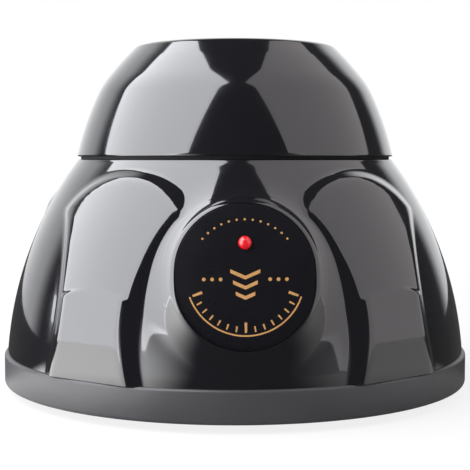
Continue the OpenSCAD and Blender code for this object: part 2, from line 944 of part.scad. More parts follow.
module motor_shaft() {
    color("#dfe1e3") translate([0, 0, 20.8]) cylinder(r = shaft_r, h = shaft_top - 20.8);
}

module motor_armature() {
    color("#8a4a2a")
        translate([0, 0, 28])
            difference() {
                union() {
                    cylinder(r = 8.6, h = 15);
                    translate([0, 0, -3.2]) cylinder(r = 3, h = 3.3);
                }
                translate([0, 0, -5]) cylinder(r = shaft_r, h = 30);
                for (a = THIRDS) rotate([0, 0, a]) translate([6, -0.8, -eps]) cube([4, 1.6, 16]);
            }
}

module eccentric_hub() {
    color("#c8a24e")
        difference() {
            union() {
                translate([0, 0, hub_z]) cylinder(r = hub_r, h = hub_top - hub_z);
                translate([orbit, 0, hub_top - 0.1]) cylinder(r = 4.8, h = bearing_z - hub_top + 0.1);
                translate([orbit, 0, hub_top]) cylinder(r = bearing_in_r, h = bearing_top - hub_top);
            }
            translate([0, 0, hub_z - 1]) cylinder(r = shaft_r, h = shaft_top - hub_z + 1);
            translate([orbit, 0, 61.6]) cylinder(r = 1.25, h = 10);
            translate([1.6, 0, 57]) rotate([0, 90, 0]) cylinder(r = 1.3, h = 10);
        }
}

module counterweight() {
    color("#8f9297")
        translate([0, 0, hub_z + 0.4])
            intersection() {
                tube(12.5, hub_r, 4.8, $fn = 96);
                translate([-20, -20, -1]) cube([20.5, 40, 10]);
            }
}

module hub_set_screw() {
    color("#3a3a3e")
        translate([1.8, 0, 57])
            rotate([0, 90, 0])
                difference() {
                    cylinder(r = 1.3, h = 4.4);
                    translate([0, 0, 3]) cylinder(r = 0.75, h = 3, $fn = 6);
                }
}

module bearing_inner_ring() {
    color("#d0d3d6") translate([orbit, 0, bearing_z]) tube(5, bearing_in_r, bearing_h);
}

module bearing_washer() {
    color("#d6d8da") translate([orbit, 0, bearing_top]) tube(4.4, 1.35, 0.6);
}

module bearing_screw() {
    color("silver")
        translate([orbit, 0, bearing_top + 0.6]) rotate([180, 0, 0]) screw(1.25, 4, 2.2, 1.4);
}

// ---------- cup ----------

module bearing_outer_ring() {
    color("#d0d3d6") translate([orbit, 0, bearing_z]) tube(bearing_out_r, 6.9, bearing_h);
}

module bearing_balls() {
    color("#eceef0")
        for (k = [0 : 8])
            translate([orbit, 0, bearing_z + bearing_h / 2])
                rotate([0, 0, 40 * k]) translate([6.1, 0, 0]) sphere(r = 0.75, $fn = 24);
}

module cup_holder() {
    color("#2e2e33")
        translate([orbit, 0, 0])
            difference() {
                union() {
                    translate([0, 0, bearing_z]) cylinder(r = 10.4, h = holder_z - bearing_z + 0.5);
                    translate([0, 0, holder_z]) cylinder(r = 20, h = holder_t, $fn = 96);
                    translate([0, 0, cup_z - 0.5]) cylinder(r = 6, h = 6.5);
                }
                translate([0, 0, bearing_z - eps]) cylinder(r = bearing_out_r, h = bearing_h + eps);
                translate([0, 0, bearing_z]) cylinder(r = 7.2, h = holder_z - bearing_z);
                for (a = THIRDS)
                    translate(around(a + 60, pin_ring, holder_z - eps)) cylinder(r = pin_r, h = 10);
            }
}

module anti_turn_pins() {
    color("#c9ccd0")
        translate([orbit, 0, 0])
            for (a = THIRDS)
                translate(around(a + 60, pin_ring, plate_z + 0.8))
                    cylinder(r = pin_r, h = cup_z - plate_z - 0.8);
}

module rubber_cup() {
    color("#1d1d20")
        translate([orbit, 0, 0])
            rotate_extrude($fn = 96)
                difference() {
                    union() {
                        polygon([[0, cup_z], [15.5, cup_z], [cup_r - 0.8, cup_z + 5],
                            [cup_r - 0.8, cup_top - 3], [0, cup_top - 3]]);
                        soft_square(10, cup_top - 4, cup_r, cup_top, 1);
                        translate([0, cup_top - 4]) square([12, 4]);
                    }
                    polygon([[0, well_z], [cup_well_r, well_z], [cup_mouth_r - 2, cup_top - 3],
                        [cup_mouth_r, cup_top + 1], [0, cup_top + 1]]);
                    translate([0, cup_z - 1]) square([6, 7]);
                }
}

base_tray();
rubber_feet();
base_screws();
lower_housing();
upper_housing();
housing_screws();
label_plate();
indicator_lamp();
lamp_grommet();
guide_posts();
post_washers();
post_screws();
return_springs();
circuit_board();
board_screws();
board_capacitor();
board_regulator();
lead_header();
inlet_body();
inlet_pin();
inlet_nut();
rocker_frame();
rocker_terminals();
rocker_paddle();
switch_body();
switch_plunger();
switch_lever();
inlet_leads();
rocker_leads();
lamp_leads();
motor_cradle();
guide_bushes();
motor_sleeve();
motor_can();
motor_magnets();
motor_end_cap();
motor_bushes();
motor_terminals();
motor_screws();
motor_leads();
motor_shaft();
motor_armature();
eccentric_hub();
counterweight();
hub_set_screw();
bearing_inner_ring();
bearing_washer();
bearing_screw();
bearing_outer_ring();
bearing_balls();
cup_holder();
anti_turn_pins();
rubber_cup();
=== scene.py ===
import json
import math

import bmesh
import bpy
import numpy as np
from mathutils import Matrix, Vector

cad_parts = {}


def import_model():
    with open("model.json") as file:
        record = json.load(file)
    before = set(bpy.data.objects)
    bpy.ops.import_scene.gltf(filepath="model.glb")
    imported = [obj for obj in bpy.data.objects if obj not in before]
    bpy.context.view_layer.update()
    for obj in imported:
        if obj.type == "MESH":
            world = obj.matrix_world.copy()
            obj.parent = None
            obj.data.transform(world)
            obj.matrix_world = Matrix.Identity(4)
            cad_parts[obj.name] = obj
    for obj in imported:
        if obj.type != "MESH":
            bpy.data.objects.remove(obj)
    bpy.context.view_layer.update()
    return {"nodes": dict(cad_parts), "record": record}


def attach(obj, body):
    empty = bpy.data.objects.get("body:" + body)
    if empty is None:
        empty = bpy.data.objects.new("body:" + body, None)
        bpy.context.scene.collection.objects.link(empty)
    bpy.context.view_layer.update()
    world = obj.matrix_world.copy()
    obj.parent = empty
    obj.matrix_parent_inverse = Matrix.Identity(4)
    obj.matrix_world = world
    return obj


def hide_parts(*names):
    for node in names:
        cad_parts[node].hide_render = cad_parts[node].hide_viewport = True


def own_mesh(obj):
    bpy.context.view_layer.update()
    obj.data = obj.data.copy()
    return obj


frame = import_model()

# ---------------------------------------------------------------- sizes, in millimetres

MM = 0.001
WALL = 2.2
TRAY_TOP = 10.0
BASE_R = 62.5
FOOT_H = 2.0
FLOOR_TOP = 4.5
SEAM_Z = 61.6
LOWER_TOP = 61.2
UPPER_BOTTOM = 62.0
RIM_Z = 91.5
MOUTH_R = 21.3
DECK_R = 31.0

# Upright curves of the two shells: centre radius, centre height and radius of each arc
DOME_ARC = (-35.7, 2.8, 97.6)
CROWN_ARC = (-36.6, 44.0, 81.4)
SHOULDER_ARC = (-36.35, 27.3, 90.0)

# Raised panels: angles of their middles round the dome from the front, and their form
PANEL_ANGLES = (36.0, 114.0, 180.0, 246.0, 324.0)
PANEL_Z = 37.6
PANEL_HALF = 12.2
PANEL_SPREAD = 0.175
WALL_RUN = 1.25
HOOD_RAISE = 1.6
HOOD_ARCH = (2.75, 17.3)
HOOD_LOW = 28.0
WALL_END = 22.5
COLUMN_ARCH = (-25.0, 19.5)
COLUMN_ARC = (-3.5, 12.0, 65.73)
CREST_BLEND = 0.4
FOOT_BLEND = 0.4

# Where the screw towers, posts and feet stand
TOWER_ANGLES, TOWER_RING, TOWER_R = (36.0, 108.0, 252.0, 324.0), 53.0, 3.9
TOP_SCREW_ANGLES, TOP_SCREW_RING = (60.0, 180.0, 300.0), 35.5
POST_ANGLES, POST_RING = (0.0, 120.0, 240.0), 25.0
FOOT_ANGLES, FOOT_RING = (0.0, 72.0, 144.0, 216.0, 288.0), 46.0

# Label pad at the front
PAD_OUT = 57.0
PAD_Z = 34.9
PAD_TILT = 14.0
PAD_R = 16.4
PAD_DEPTH = 7.0
PAD_BLEND = 4.5
SKIRT_RUN = 0.6
RIM_BLEND = 1.0
OVAL = 1.0
RECESS_R = 16.0
PATCH_R = 19.6
LABEL_R = 15.9
LABEL_T = 0.45
RECESS = 0.5
LAMP_UP = 7.8
LAMP_R = 1.6

# Cup, inlet and rocker switch
ORBIT = 2.0
CUP_R = 18.0
INLET_Z = 18.0
INLET_FACE = 61.2
ROCKER_ANGLE = 144.0
ROCKER_Z = 25.0
ROCKER_TILT = 8.0
PIVOT_DEPTH = -2.0


def arc_radius(arc, z):
    """Radius from the upright axis of a point on an upright arc, at a height."""
    return arc[0] + np.sqrt(arc[2] ** 2 - (z - arc[1]) ** 2)


def arc_lean(arc, z):
    """Upward lean of that arc's face, in radians."""
    return np.arcsin((z - arc[1]) / arc[2])


PANEL_OUT = float(arc_radius(DOME_ARC, PANEL_Z))
PANEL_LEAN = float(arc_lean(DOME_ARC, PANEL_Z))


# ---------------------------------------------------------------- form of the lower shell

HALVINGS = 26


def soft_min(a, b, blend):
    near = np.maximum(blend - np.abs(a - b), 0.0)
    return np.minimum(a, b) - near * near / (4.0 * blend)


def soft_max(a, b, blend):
    return -soft_min(-a, -b, blend)


def arc_gap(arc, out, z):
    return np.hypot(out - arc[0], z - arc[1]) - arc[2]


def arch_gap(arch, u, v, w):
    """Distance outside a round-topped space with a sloping wall."""
    return (np.hypot(u, np.maximum(v - arch[0], 0.0)) + WALL_RUN * w - arch[1]) / math.hypot(1.0, WALL_RUN)


def from_panel(angle):
    """Angle to the middle of the nearest panel, in degrees."""
    turns = [np.abs(np.mod(angle - middle + 180.0, 360.0) - 180.0) for middle in PANEL_ANGLES]
    return np.min(turns, axis=0)


def panel_axes(turn, radius, z):
    """A point in the nearest panel's own frame, and how far forward it lies."""
    forward = radius * np.cos(np.radians(turn))
    out, up = forward - PANEL_OUT, z - PANEL_Z
    return (radius * np.sin(np.radians(turn)), up * math.cos(PANEL_LEAN) - out * math.sin(PANEL_LEAN),
            up * math.sin(PANEL_LEAN) + out * math.cos(PANEL_LEAN), forward)


def side_run_out(u, v, w):
    """How far a point lies outside a panel's sloping side wall, along the panel."""
    return u + WALL_RUN * w - PANEL_SPREAD * v - PANEL_HALF


def panel_gap(x, y, z):
    """Distance outside the nearest raised panel; the five are folded onto one."""
    radius = np.hypot(x, y)
    u, v, w, forward = panel_axes(from_panel(np.degrees(np.arctan2(x, -y))), radius, z)
    sides = side_run_out(u, v, w) / math.sqrt(1.0 + WALL_RUN ** 2 + PANEL_SPREAD ** 2)
    hood = soft_max(arc_gap(DOME_ARC, radius, z) - HOOD_RAISE, arch_gap(HOOD_ARCH, u, v, w), CREST_BLEND)
    hood = soft_max(hood, HOOD_LOW - z, 0.2)
    column = soft_max(arc_gap(COLUMN_ARC, forward, z), arch_gap(COLUMN_ARCH, u, v, w), CREST_BLEND)
    step = FOOT_BLEND * np.clip(u / 7.0, 0.03, 1.0)
    return soft_max(soft_min(hood, column, step), sides, CREST_BLEND)


def pad_axes(x, y, z):
    """A point in the label pad's own frame: across, up the face, out of the face."""
    tilt = math.radians(PAD_TILT)
    out, up = -y - PAD_OUT, z - PAD_Z
    return x, up * math.cos(tilt) - out * math.sin(tilt), up * math.sin(tilt) + out * math.cos(tilt)


def pad_place(u, v, w):
    """The same, back into the machine's frame."""
    tilt = math.radians(PAD_TILT)
    out = PAD_OUT - v * math.sin(tilt) + w * math.cos(tilt)
    return u, -out, PAD_Z + v * math.cos(tilt) + w * math.sin(tilt)


def pad_gap(x, y, z):
    u, v, w = pad_axes(x, y, z)
    out = np.hypot(u, np.maximum(np.abs(v) - OVAL, 0.0)) - PAD_R
    skirt = (out + SKIRT_RUN * w) / math.hypot(1.0, SKIRT_RUN)
    return np.maximum(soft_max(w, skirt, RIM_BLEND), -PAD_DEPTH - w)


def shell_gap(x, y, z):
    """Distance outside the lower shell, with its edges and corners rounded."""
    dome = arc_gap(DOME_ARC, np.hypot(x, y), z)
    body = soft_min(dome, pad_gap(x, y, z), PAD_BLEND)
    return soft_min(body, panel_gap(x, y, z), FOOT_BLEND)


def settle(gap, place, low, high):
    """Step along place(t) at which gap is nought, for every point at once."""
    low, high = np.array(low, float), np.array(high, float)
    for _ in range(HALVINGS):
        middle = (low + high) / 2.0
        inside = gap(*place(middle)) < 0.0
        low, high = np.where(inside, middle, low), np.where(inside, high, middle)
    return (low + high) / 2.0


# ---------------------------------------------------------------- mesh helpers

def verts_of(made):
    """The vertices that an extrude operator made."""
    return [item for item in made["geom"] if isinstance(item, bmesh.types.BMVert)]


def edges_of(made):
    return [item for item in made["geom"] if isinstance(item, bmesh.types.BMEdge)]


def rounded(bm, edges, offset):
    bmesh.ops.bevel(bm, geom=edges, offset=offset, segments=3, profile=0.5, affect="EDGES", material=-1)


def finished(name, bm, material, body, replaces=(), angle=40.0):
    """Turns a bmesh in millimetres into a piece that rides on a body."""
    bmesh.ops.scale(bm, vec=(MM, MM, MM), verts=bm.verts)
    mesh = bpy.data.meshes.new(name)
    bm.to_mesh(mesh)
    bm.free()
    mesh.shade_smooth()
    mesh.set_sharp_from_angle(angle=math.radians(angle))
    piece = bpy.data.objects.new(name, mesh)
    bpy.context.scene.collection.objects.link(piece)
    mesh.materials.append(material)
    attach(piece, body)
    if replaces:
        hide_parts(*replaces)
    return piece


def outwards(bm):
    bmesh.ops.recalc_face_normals(bm, faces=bm.faces)


def spun(points, steps=192, centre=(0.0, 0.0)):
    """Solid of revolution about an upright axis; points are (radius, height)."""
    bm = bmesh.new()
    verts = [bm.verts.new((r, 0.0, z)) for r, z in points]
    edges = [bm.edges.new(pair) for pair in zip(verts, verts[1:] + verts[:1])]
    bmesh.ops.spin(bm, geom=verts + edges, cent=(0, 0, 0), axis=(0, 0, 1),
                   angle=2 * math.pi, steps=steps, use_merge=True)
    bmesh.ops.remove_doubles(bm, verts=bm.verts, dist=1e-5)
    outwards(bm)
    bmesh.ops.translate(bm, vec=(centre[0], centre[1], 0.0), verts=bm.verts)
    return bm


def arc_points(cx, cz, r, start, end, count):
    """Points on an arc in the radius and height plane, angles in degrees."""
    return [(cx + r * math.cos(math.radians(a)), cz + r * math.sin(math.radians(a)))
            for a in np.linspace(start, end, count)]


def on_circle(angle, radius):
    """Place on a level circle, the angle in degrees from the front."""
    return radius * math.sin(math.radians(angle)), -radius * math.cos(math.radians(angle))


def merge_into(bm, other):
    """Adds another bmesh's faces to bm and frees it."""
    mesh = bpy.data.meshes.new("part")
    other.to_mesh(mesh)
    other.free()
    bm.from_mesh(mesh)
    bpy.data.meshes.remove(mesh)
    return bm


def add_to(piece, bm):
    """Adds a bmesh in millimetres to a finished piece."""
    bmesh.ops.scale(bm, vec=(MM, MM, MM), verts=bm.verts)
    both = bmesh.new()
    both.from_mesh(piece.data)
    merge_into(both, bm)
    both.to_mesh(piece.data)
    both.free()


def cut(piece, cutters):
    """Takes solids away from a piece and leaves no modifier behind."""
    for bm in cutters:
        bmesh.ops.scale(bm, vec=(MM, MM, MM), verts=bm.verts)
        mesh = bpy.data.meshes.new("cutter")
        bm.to_mesh(mesh)
        bm.free()
        tool = bpy.data.objects.new("cutter", mesh)
        bpy.context.scene.collection.objects.link(tool)
        take = piece.modifiers.new("cut", "BOOLEAN")
        take.operation = "DIFFERENCE"
        take.solver = "EXACT"
        take.object = tool
        bpy.context.view_layer.update()
        evaluated = piece.evaluated_get(bpy.context.evaluated_depsgraph_get())
        result = bpy.data.meshes.new_from_object(evaluated)
        piece.modifiers.clear()
        old = piece.data
        piece.data = result
        bpy.data.meshes.remove(old)
        bpy.data.objects.remove(tool)
        bpy.data.meshes.remove(mesh)
    return piece


def rod(start, end, r, sides=48):
    """Closed round bar between two points."""
    start, end = Vector(start), Vector(end)
    run = end - start
    bm = bmesh.new()
    bmesh.ops.create_cone(bm, cap_ends=True, segments=sides, radius1=r, radius2=r, depth=run.length)
    turn = run.to_track_quat("Z", "Y").to_matrix().to_4x4()
    bmesh.ops.transform(bm, matrix=Matrix.Translation((start + end) / 2) @ turn, verts=bm.verts)
    return bm


def block(low, high, edge=0.0, place=None):
    """Box between two corners, its edges rounded, then put in its place."""
    low, high = Vector(low), Vector(high)
    bm = bmesh.new()
    bmesh.ops.create_cube(bm, size=1.0)
    bmesh.ops.scale(bm, vec=high - low, verts=bm.verts)
    bmesh.ops.translate(bm, vec=(low + high) / 2, verts=bm.verts)
    if edge:
        rounded(bm, list(bm.edges), edge)
    if place is not None:
        bmesh.ops.transform(bm, matrix=place, verts=bm.verts)
    return bm


def face_frame(angle, out, z, lean):
    """Matrix of a leaning face's own frame: X along the face, Y up it, Z out of it."""
    return (Matrix.Rotation(math.radians(angle), 4, "Z") @ Matrix.Translation((0, -out, z))
            @ Matrix.Rotation(math.radians(90.0) - lean, 4, "X"))


PAD_FRAME = face_frame(0.0, PAD_OUT, PAD_Z, math.radians(PAD_TILT))
ROCKER_FRAME = face_frame(ROCKER_ANGLE, float(arc_radius(DOME_ARC, ROCKER_Z)), ROCKER_Z,
                          float(arc_lean(DOME_ARC, ROCKER_Z)))


# ---------------------------------------------------------------- materials

def new_group(name, inputs, outputs):
    """Empty shader node group with named sockets and its two end nodes."""
    group = bpy.data.node_groups.new(name, "ShaderNodeTree")
    for label, kind, value in inputs:
        socket = group.interface.new_socket(name=label, in_out="INPUT", socket_type=kind)
        if value is not None:
            socket.default_value = value
    for label, kind in outputs:
        group.interface.new_socket(name=label, in_out="OUTPUT", socket_type=kind)
    return group, group.nodes.new("NodeGroupInput"), group.nodes.new("NodeGroupOutput")


def feed(links, socket, value):
    """Sets a socket to a number, or links another socket to it."""
    if isinstance(value, float):
        socket.default_value = value
    else:
        links.new(value, socket)


def ranged(nodes, links, value, source, result, easing="SMOOTHSTEP"):
    """Change from one range of values to another."""
    change = nodes.new("ShaderNodeMapRange")
    change.interpolation_type = easing
    for label, amount in zip(("From Min", "From Max", "To Min", "To Max"), (*source, *result)):
        feed(links, change.inputs[label], amount)
    links.new(value, change.inputs["Value"])
    return change.outputs["Result"]


def combined(nodes, links, operation, first, second):
    """Adds, multiplies or compares two values; the second may be a plain number."""
    made = nodes.new("ShaderNodeMath")
    made.operation = operation
    links.new(first, made.inputs[0])
    feed(links, made.inputs[1], second)
    return made.outputs["Value"]


def noise(nodes, links, where, scale, detail=2.0, roughness=0.5):
    """Height of a noise pattern at a place."""
    pattern = nodes.new("ShaderNodeTexNoise")
    for label, value in (("Scale", scale), ("Detail", detail), ("Roughness", roughness)):
        feed(links, pattern.inputs[label], value)
    links.new(where, pattern.inputs["Vector"])
    return pattern.outputs["Fac"]


def object_place(nodes):
    return nodes.new("ShaderNodeTexCoord").outputs["Object"]


def axes_of(nodes, links, where):
    """The three numbers of a place or direction."""
    axes = nodes.new("ShaderNodeSeparateXYZ")
    links.new(where, axes.inputs["Vector"])
    return axes.outputs["X"], axes.outputs["Y"], axes.outputs["Z"]


def handled_surface():
    """Uneven gloss of a handled surface: faint smears, fine specks and a slow waviness."""
    group, source, result = new_group(
        "handled_surface",
        [("Smooth", "NodeSocketFloat", 0.05), ("Rough", "NodeSocketFloat", 0.12),
         ("Size", "NodeSocketFloat", 60.0), ("Wave Size", "NodeSocketFloat", 45.0)],
        [("Roughness", "NodeSocketFloat"), ("Wave", "NodeSocketFloat"), ("Specks", "NodeSocketFloat")])
    nodes, links = group.nodes, group.links
    where = object_place(nodes)
    smear = noise(nodes, links, where, source.outputs["Size"], 5.0, 0.6)
    ends = (source.outputs["Smooth"], source.outputs["Rough"])
    spread = ranged(nodes, links, smear, (0.35, 0.75), ends, "LINEAR")
    links.new(spread, result.inputs["Roughness"])
    links.new(noise(nodes, links, where, source.outputs["Wave Size"], 1.0), result.inputs["Wave"])
    speck = nodes.new("ShaderNodeTexVoronoi")
    speck.inputs["Scale"].default_value = 900.0
    links.new(where, speck.inputs["Vector"])
    small = ranged(nodes, links, speck.outputs["Distance"], (0.0, 0.09), (1.0, 0.0), "LINEAR")
    links.new(small, result.inputs["Specks"])
    return group


def fine_grain():
    """Fine moulded or cast grain as a height and a shade mask."""
    group, source, result = new_group(
        "fine_grain", [("Size", "NodeSocketFloat", 1500.0)],
        [("Height", "NodeSocketFloat"), ("Shade", "NodeSocketFloat")])
    nodes, links = group.nodes, group.links
    where = object_place(nodes)
    links.new(noise(nodes, links, where, source.outputs["Size"], 4.0, 0.7), result.inputs["Height"])
    links.new(noise(nodes, links, where, 70.0, 3.0), result.inputs["Shade"])
    return group


def drawn_lines():
    """Fine lines of drawn, turned or brushed metal, along or round the upright axis."""
    group, source, result = new_group(
        "drawn_lines",
        [("Size", "NodeSocketFloat", 2500.0), ("Stretch", "NodeSocketVector", (1.0, 1.0, 0.04))],
        [("Height", "NodeSocketFloat"), ("Streak", "NodeSocketFloat")])
    nodes, links = group.nodes, group.links
    longer = nodes.new("ShaderNodeVectorMath")
    longer.operation = "MULTIPLY"
    links.new(object_place(nodes), longer.inputs[0])
    links.new(source.outputs["Stretch"], longer.inputs[1])
    where = longer.outputs["Vector"]
    links.new(noise(nodes, links, where, source.outputs["Size"], 3.0), result.inputs["Height"])
    links.new(noise(nodes, links, where, 350.0), result.inputs["Streak"])
    return group


HANDLED = handled_surface()
GRAIN = fine_grain()
LINES = drawn_lines()


def placed_group(tree, group, **values):
    node = tree.nodes.new("ShaderNodeGroup")
    node.node_tree = group
    for label, value in values.items():
        node.inputs[label.replace("_", " ")].default_value = value
    return node


def shader(name, color, roughness, metallic=0.0, **sockets):
    """New material with its own Principled shader; sockets are set on the shader itself."""
    material = bpy.data.materials.new(name)
    material.use_nodes = True
    base = material.node_tree.nodes["Principled BSDF"]
    base.inputs["Base Color"].default_value = (*color, 1.0)
    base.inputs["Roughness"].default_value = roughness
    base.inputs["Metallic"].default_value = metallic
    for label, value in sockets.items():
        base.inputs[label.replace("_", " ")].default_value = value
    return material, material.node_tree, base


def bumped(tree, base, height, strength, distance):
    """Feeds a height through one Bump node to the shader's normal."""
    bump = tree.nodes.new("ShaderNodeBump")
    bump.inputs["Strength"].default_value = strength
    bump.inputs["Distance"].default_value = distance
    tree.links.new(height, bump.inputs["Height"])
    tree.links.new(bump.outputs["Normal"], base.inputs["Normal"])
    return bump


def tinted(tree, base, mask, dark, light):
    """Base colour that moves between two shades with a mask."""
    mix = tree.nodes.new("ShaderNodeMix")
    mix.data_type = "RGBA"
    mix.inputs["A"].default_value = (*dark, 1.0)
    mix.inputs["B"].default_value = (*light, 1.0)
    tree.links.new(mask, mix.inputs["Factor"])
    tree.links.new(mix.outputs["Result"], base.inputs["Base Color"])


def gloss_shell():
    material, tree, base = shader("gloss_shell", (0.006, 0.006, 0.008), 0.1, IOR=1.5,
                                  Coat_Weight=1.0, Coat_Roughness=0.025, Coat_IOR=1.6)
    surface = placed_group(tree, HANDLED, Smooth=0.07, Rough=0.16, Size=55.0, Wave_Size=38.0)
    bumped(tree, base, surface.outputs["Wave"], 0.35, 0.0004)
    tinted(tree, base, surface.outputs["Specks"], (0.006, 0.006, 0.008), (0.03, 0.03, 0.032))
    # The groove between the shells is matt
    nodes, links = tree.nodes, tree.links
    groove = nodes.new("ShaderNodeMath")
    groove.operation = "COMPARE"
    groove.inputs[1].default_value = SEAM_Z * MM
    groove.inputs[2].default_value = (UPPER_BOTTOM - SEAM_Z + 0.02) * MM
    links.new(axes_of(nodes, links, object_place(nodes))[2], groove.inputs[0])
    coat = ranged(nodes, links, groove.outputs["Value"], (0.0, 1.0), (1.0, 0.0), "LINEAR")
    links.new(coat, base.inputs["Coat Weight"])
    matt = combined(nodes, links, "MULTIPLY", groove.outputs["Value"], 0.8)
    links.new(combined(nodes, links, "MAXIMUM", surface.outputs["Roughness"], matt), base.inputs["Roughness"])
    return material


def satin_tray():
    material, tree, base = shader("satin_tray", (0.055, 0.054, 0.057), 0.36, IOR=1.55)
    grain = placed_group(tree, GRAIN, Size=2200.0)
    tinted(tree, base, grain.outputs["Shade"], (0.05, 0.049, 0.052), (0.064, 0.063, 0.066))
    surface = placed_group(tree, HANDLED, Smooth=0.32, Rough=0.42, Size=40.0)
    tree.links.new(surface.outputs["Roughness"], base.inputs["Roughness"])
    bumped(tree, base, grain.outputs["Height"], 0.25, 0.00006)
    return material


def label_face():
    material, tree, base = shader("label_face", (0.007, 0.007, 0.009), 0.3, IOR=1.45,
                                  Specular_IOR_Level=0.3)
    surface = placed_group(tree, HANDLED, Smooth=0.26, Rough=0.36, Size=90.0)
    tree.links.new(surface.outputs["Roughness"], base.inputs["Roughness"])
    tinted(tree, base, surface.outputs["Specks"], (0.007, 0.007, 0.009), (0.025, 0.025, 0.028))
    return material


def gold_print():
    material, tree, base = shader("gold_print", (0.5, 0.26, 0.09), 0.45, IOR=1.45)
    grain = placed_group(tree, GRAIN, Size=900.0)
    tinted(tree, base, grain.outputs["Height"], (0.42, 0.2, 0.06), (0.62, 0.34, 0.13))
    return material


def lamp_lens():
    material, tree, base = shader("lamp_lens", (0.75, 0.01, 0.02), 0.06, IOR=1.5,
                                  Coat_Weight=1.0, Coat_Roughness=0.02, Subsurface_Weight=0.25,
                                  Subsurface_Scale=0.0012, Emission_Strength=0.12)
    base.inputs["Emission Color"].default_value = (0.9, 0.02, 0.03, 1.0)
    surface = placed_group(tree, HANDLED, Smooth=0.04, Rough=0.1, Size=400.0)
    tree.links.new(surface.outputs["Roughness"], base.inputs["Roughness"])
    return material


def rubber(name, dark, light, rough=0.62):
    material, tree, base = shader(name, dark, rough, IOR=1.48, Sheen_Weight=0.12, Sheen_Roughness=0.5)
    grain = placed_group(tree, GRAIN, Size=1700.0)
    tinted(tree, base, grain.outputs["Shade"], dark, light)
    bumped(tree, base, grain.outputs["Height"], 0.35, 0.00008)
    return material


def plastic(name, dark, light, rough=0.45):
    material, tree, base = shader(name, dark, rough, IOR=1.49)
    grain = placed_group(tree, GRAIN, Size=2400.0)
    tinted(tree, base, grain.outputs["Shade"], dark, light)
    surface = placed_group(tree, HANDLED, Smooth=rough - 0.06, Rough=rough + 0.08, Size=120.0)
    tree.links.new(surface.outputs["Roughness"], base.inputs["Roughness"])
    bumped(tree, base, grain.outputs["Height"], 0.2, 0.00005)
    return material


def metal(name, dark, light, rough=0.28, stretch=(1.0, 1.0, 0.04)):
    material, tree, base = shader(name, light, rough, metallic=1.0)
    lines = placed_group(tree, LINES, Stretch=stretch)
    tinted(tree, base, lines.outputs["Streak"], dark, light)
    surface = placed_group(tree, HANDLED, Smooth=rough - 0.05, Rough=rough + 0.12, Size=200.0)
    tree.links.new(surface.outputs["Roughness"], base.inputs["Roughness"])
    bumped(tree, base, lines.outputs["Height"], 0.15, 0.00003)
    return material


def circuit_green():
    material, tree, base = shader("green_board", (0.02, 0.16, 0.06), 0.3, IOR=1.5)
    tracks = tree.nodes.new("ShaderNodeTexBrick")
    tracks.inputs["Scale"].default_value = 160.0
    tracks.inputs["Mortar Size"].default_value = 0.03
    tracks.inputs["Color1"].default_value = (0.015, 0.13, 0.05, 1.0)
    tracks.inputs["Color2"].default_value = (0.02, 0.17, 0.065, 1.0)
    tracks.inputs["Mortar"].default_value = (0.05, 0.28, 0.1, 1.0)
    tree.links.new(object_place(tree.nodes), tracks.inputs["Vector"])
    tree.links.new(tracks.outputs["Color"], base.inputs["Base Color"])
    return material


MATERIALS = {
    "gloss_shell": gloss_shell(),
    "satin_tray": satin_tray(),
    "label_face": label_face(),
    "lamp_lens": lamp_lens(),
    "black_rubber": rubber("black_rubber", (0.014, 0.014, 0.015), (0.024, 0.024, 0.026)),
    "bright_steel": metal("bright_steel", (0.5, 0.51, 0.53), (0.66, 0.67, 0.7)),
    "polished_steel": metal("polished_steel", (0.66, 0.67, 0.69), (0.78, 0.79, 0.8), rough=0.14),
    "spring_wire": metal("spring_wire", (0.42, 0.43, 0.45), (0.55, 0.56, 0.58), rough=0.24),
    "turned_brass": metal("turned_brass", (0.62, 0.42, 0.16), (0.78, 0.57, 0.26), rough=0.24),
    "sintered_bronze": metal("sintered_bronze", (0.42, 0.27, 0.13), (0.55, 0.38, 0.2), rough=0.42),
    "cradle_plastic": plastic("cradle_plastic", (0.1, 0.105, 0.115), (0.14, 0.145, 0.155)),
    "black_plastic": plastic("black_plastic", (0.014, 0.014, 0.016), (0.022, 0.022, 0.024), rough=0.36),
    "pale_plastic": plastic("pale_plastic", (0.66, 0.63, 0.54), (0.76, 0.74, 0.66), rough=0.4),
    "green_board": circuit_green(),
    "blue_sleeve": plastic("blue_sleeve", (0.02, 0.04, 0.15), (0.03, 0.06, 0.2), rough=0.25),
    "red_plastic": plastic("red_plastic", (0.42, 0.03, 0.02), (0.55, 0.05, 0.03), rough=0.35),
    "ferrite": plastic("ferrite", (0.04, 0.04, 0.043), (0.065, 0.065, 0.07), rough=0.55),
    "wound_copper": metal("wound_copper", (0.36, 0.12, 0.05), (0.5, 0.19, 0.08), rough=0.3,
                          stretch=(0.04, 1.0, 1.0)),
    "motor_steel": metal("motor_steel", (0.48, 0.49, 0.5), (0.6, 0.61, 0.63), rough=0.3),
    "red_lead": rubber("red_lead", (0.4, 0.02, 0.015), (0.5, 0.035, 0.025), rough=0.45),
    "black_lead": rubber("black_lead", (0.02, 0.02, 0.022), (0.032, 0.032, 0.034), rough=0.45),
}
GOLD = gold_print()


# ---------------------------------------------------------------- lower shell

def wall_line(z):
    """Angle from a panel's middle, in degrees, at which its side wall meets the dome."""
    def gap(angle):
        u, v, w, _ = panel_axes(angle, arc_radius(DOME_ARC, z), z)
        return side_run_out(u, v, w)

    return settle(gap, lambda t: (t,), np.zeros_like(z), np.full_like(z, 35.0))


def arch_line(arch, rise, angle):
    """Height on the dome below which a face raised by rise lies under an arch, at an angle."""
    def gap(z):
        lean = arc_lean(DOME_ARC, z)
        radius = arc_radius(DOME_ARC, z) + rise * np.cos(lean)
        u, v, w, _ = panel_axes(angle, radius, z + rise * np.sin(lean))
        return arch_gap(arch, u, v, w)

    return settle(gap, lambda t: (t,), np.full_like(angle, TRAY_TOP), np.full_like(angle, LOWER_TOP))


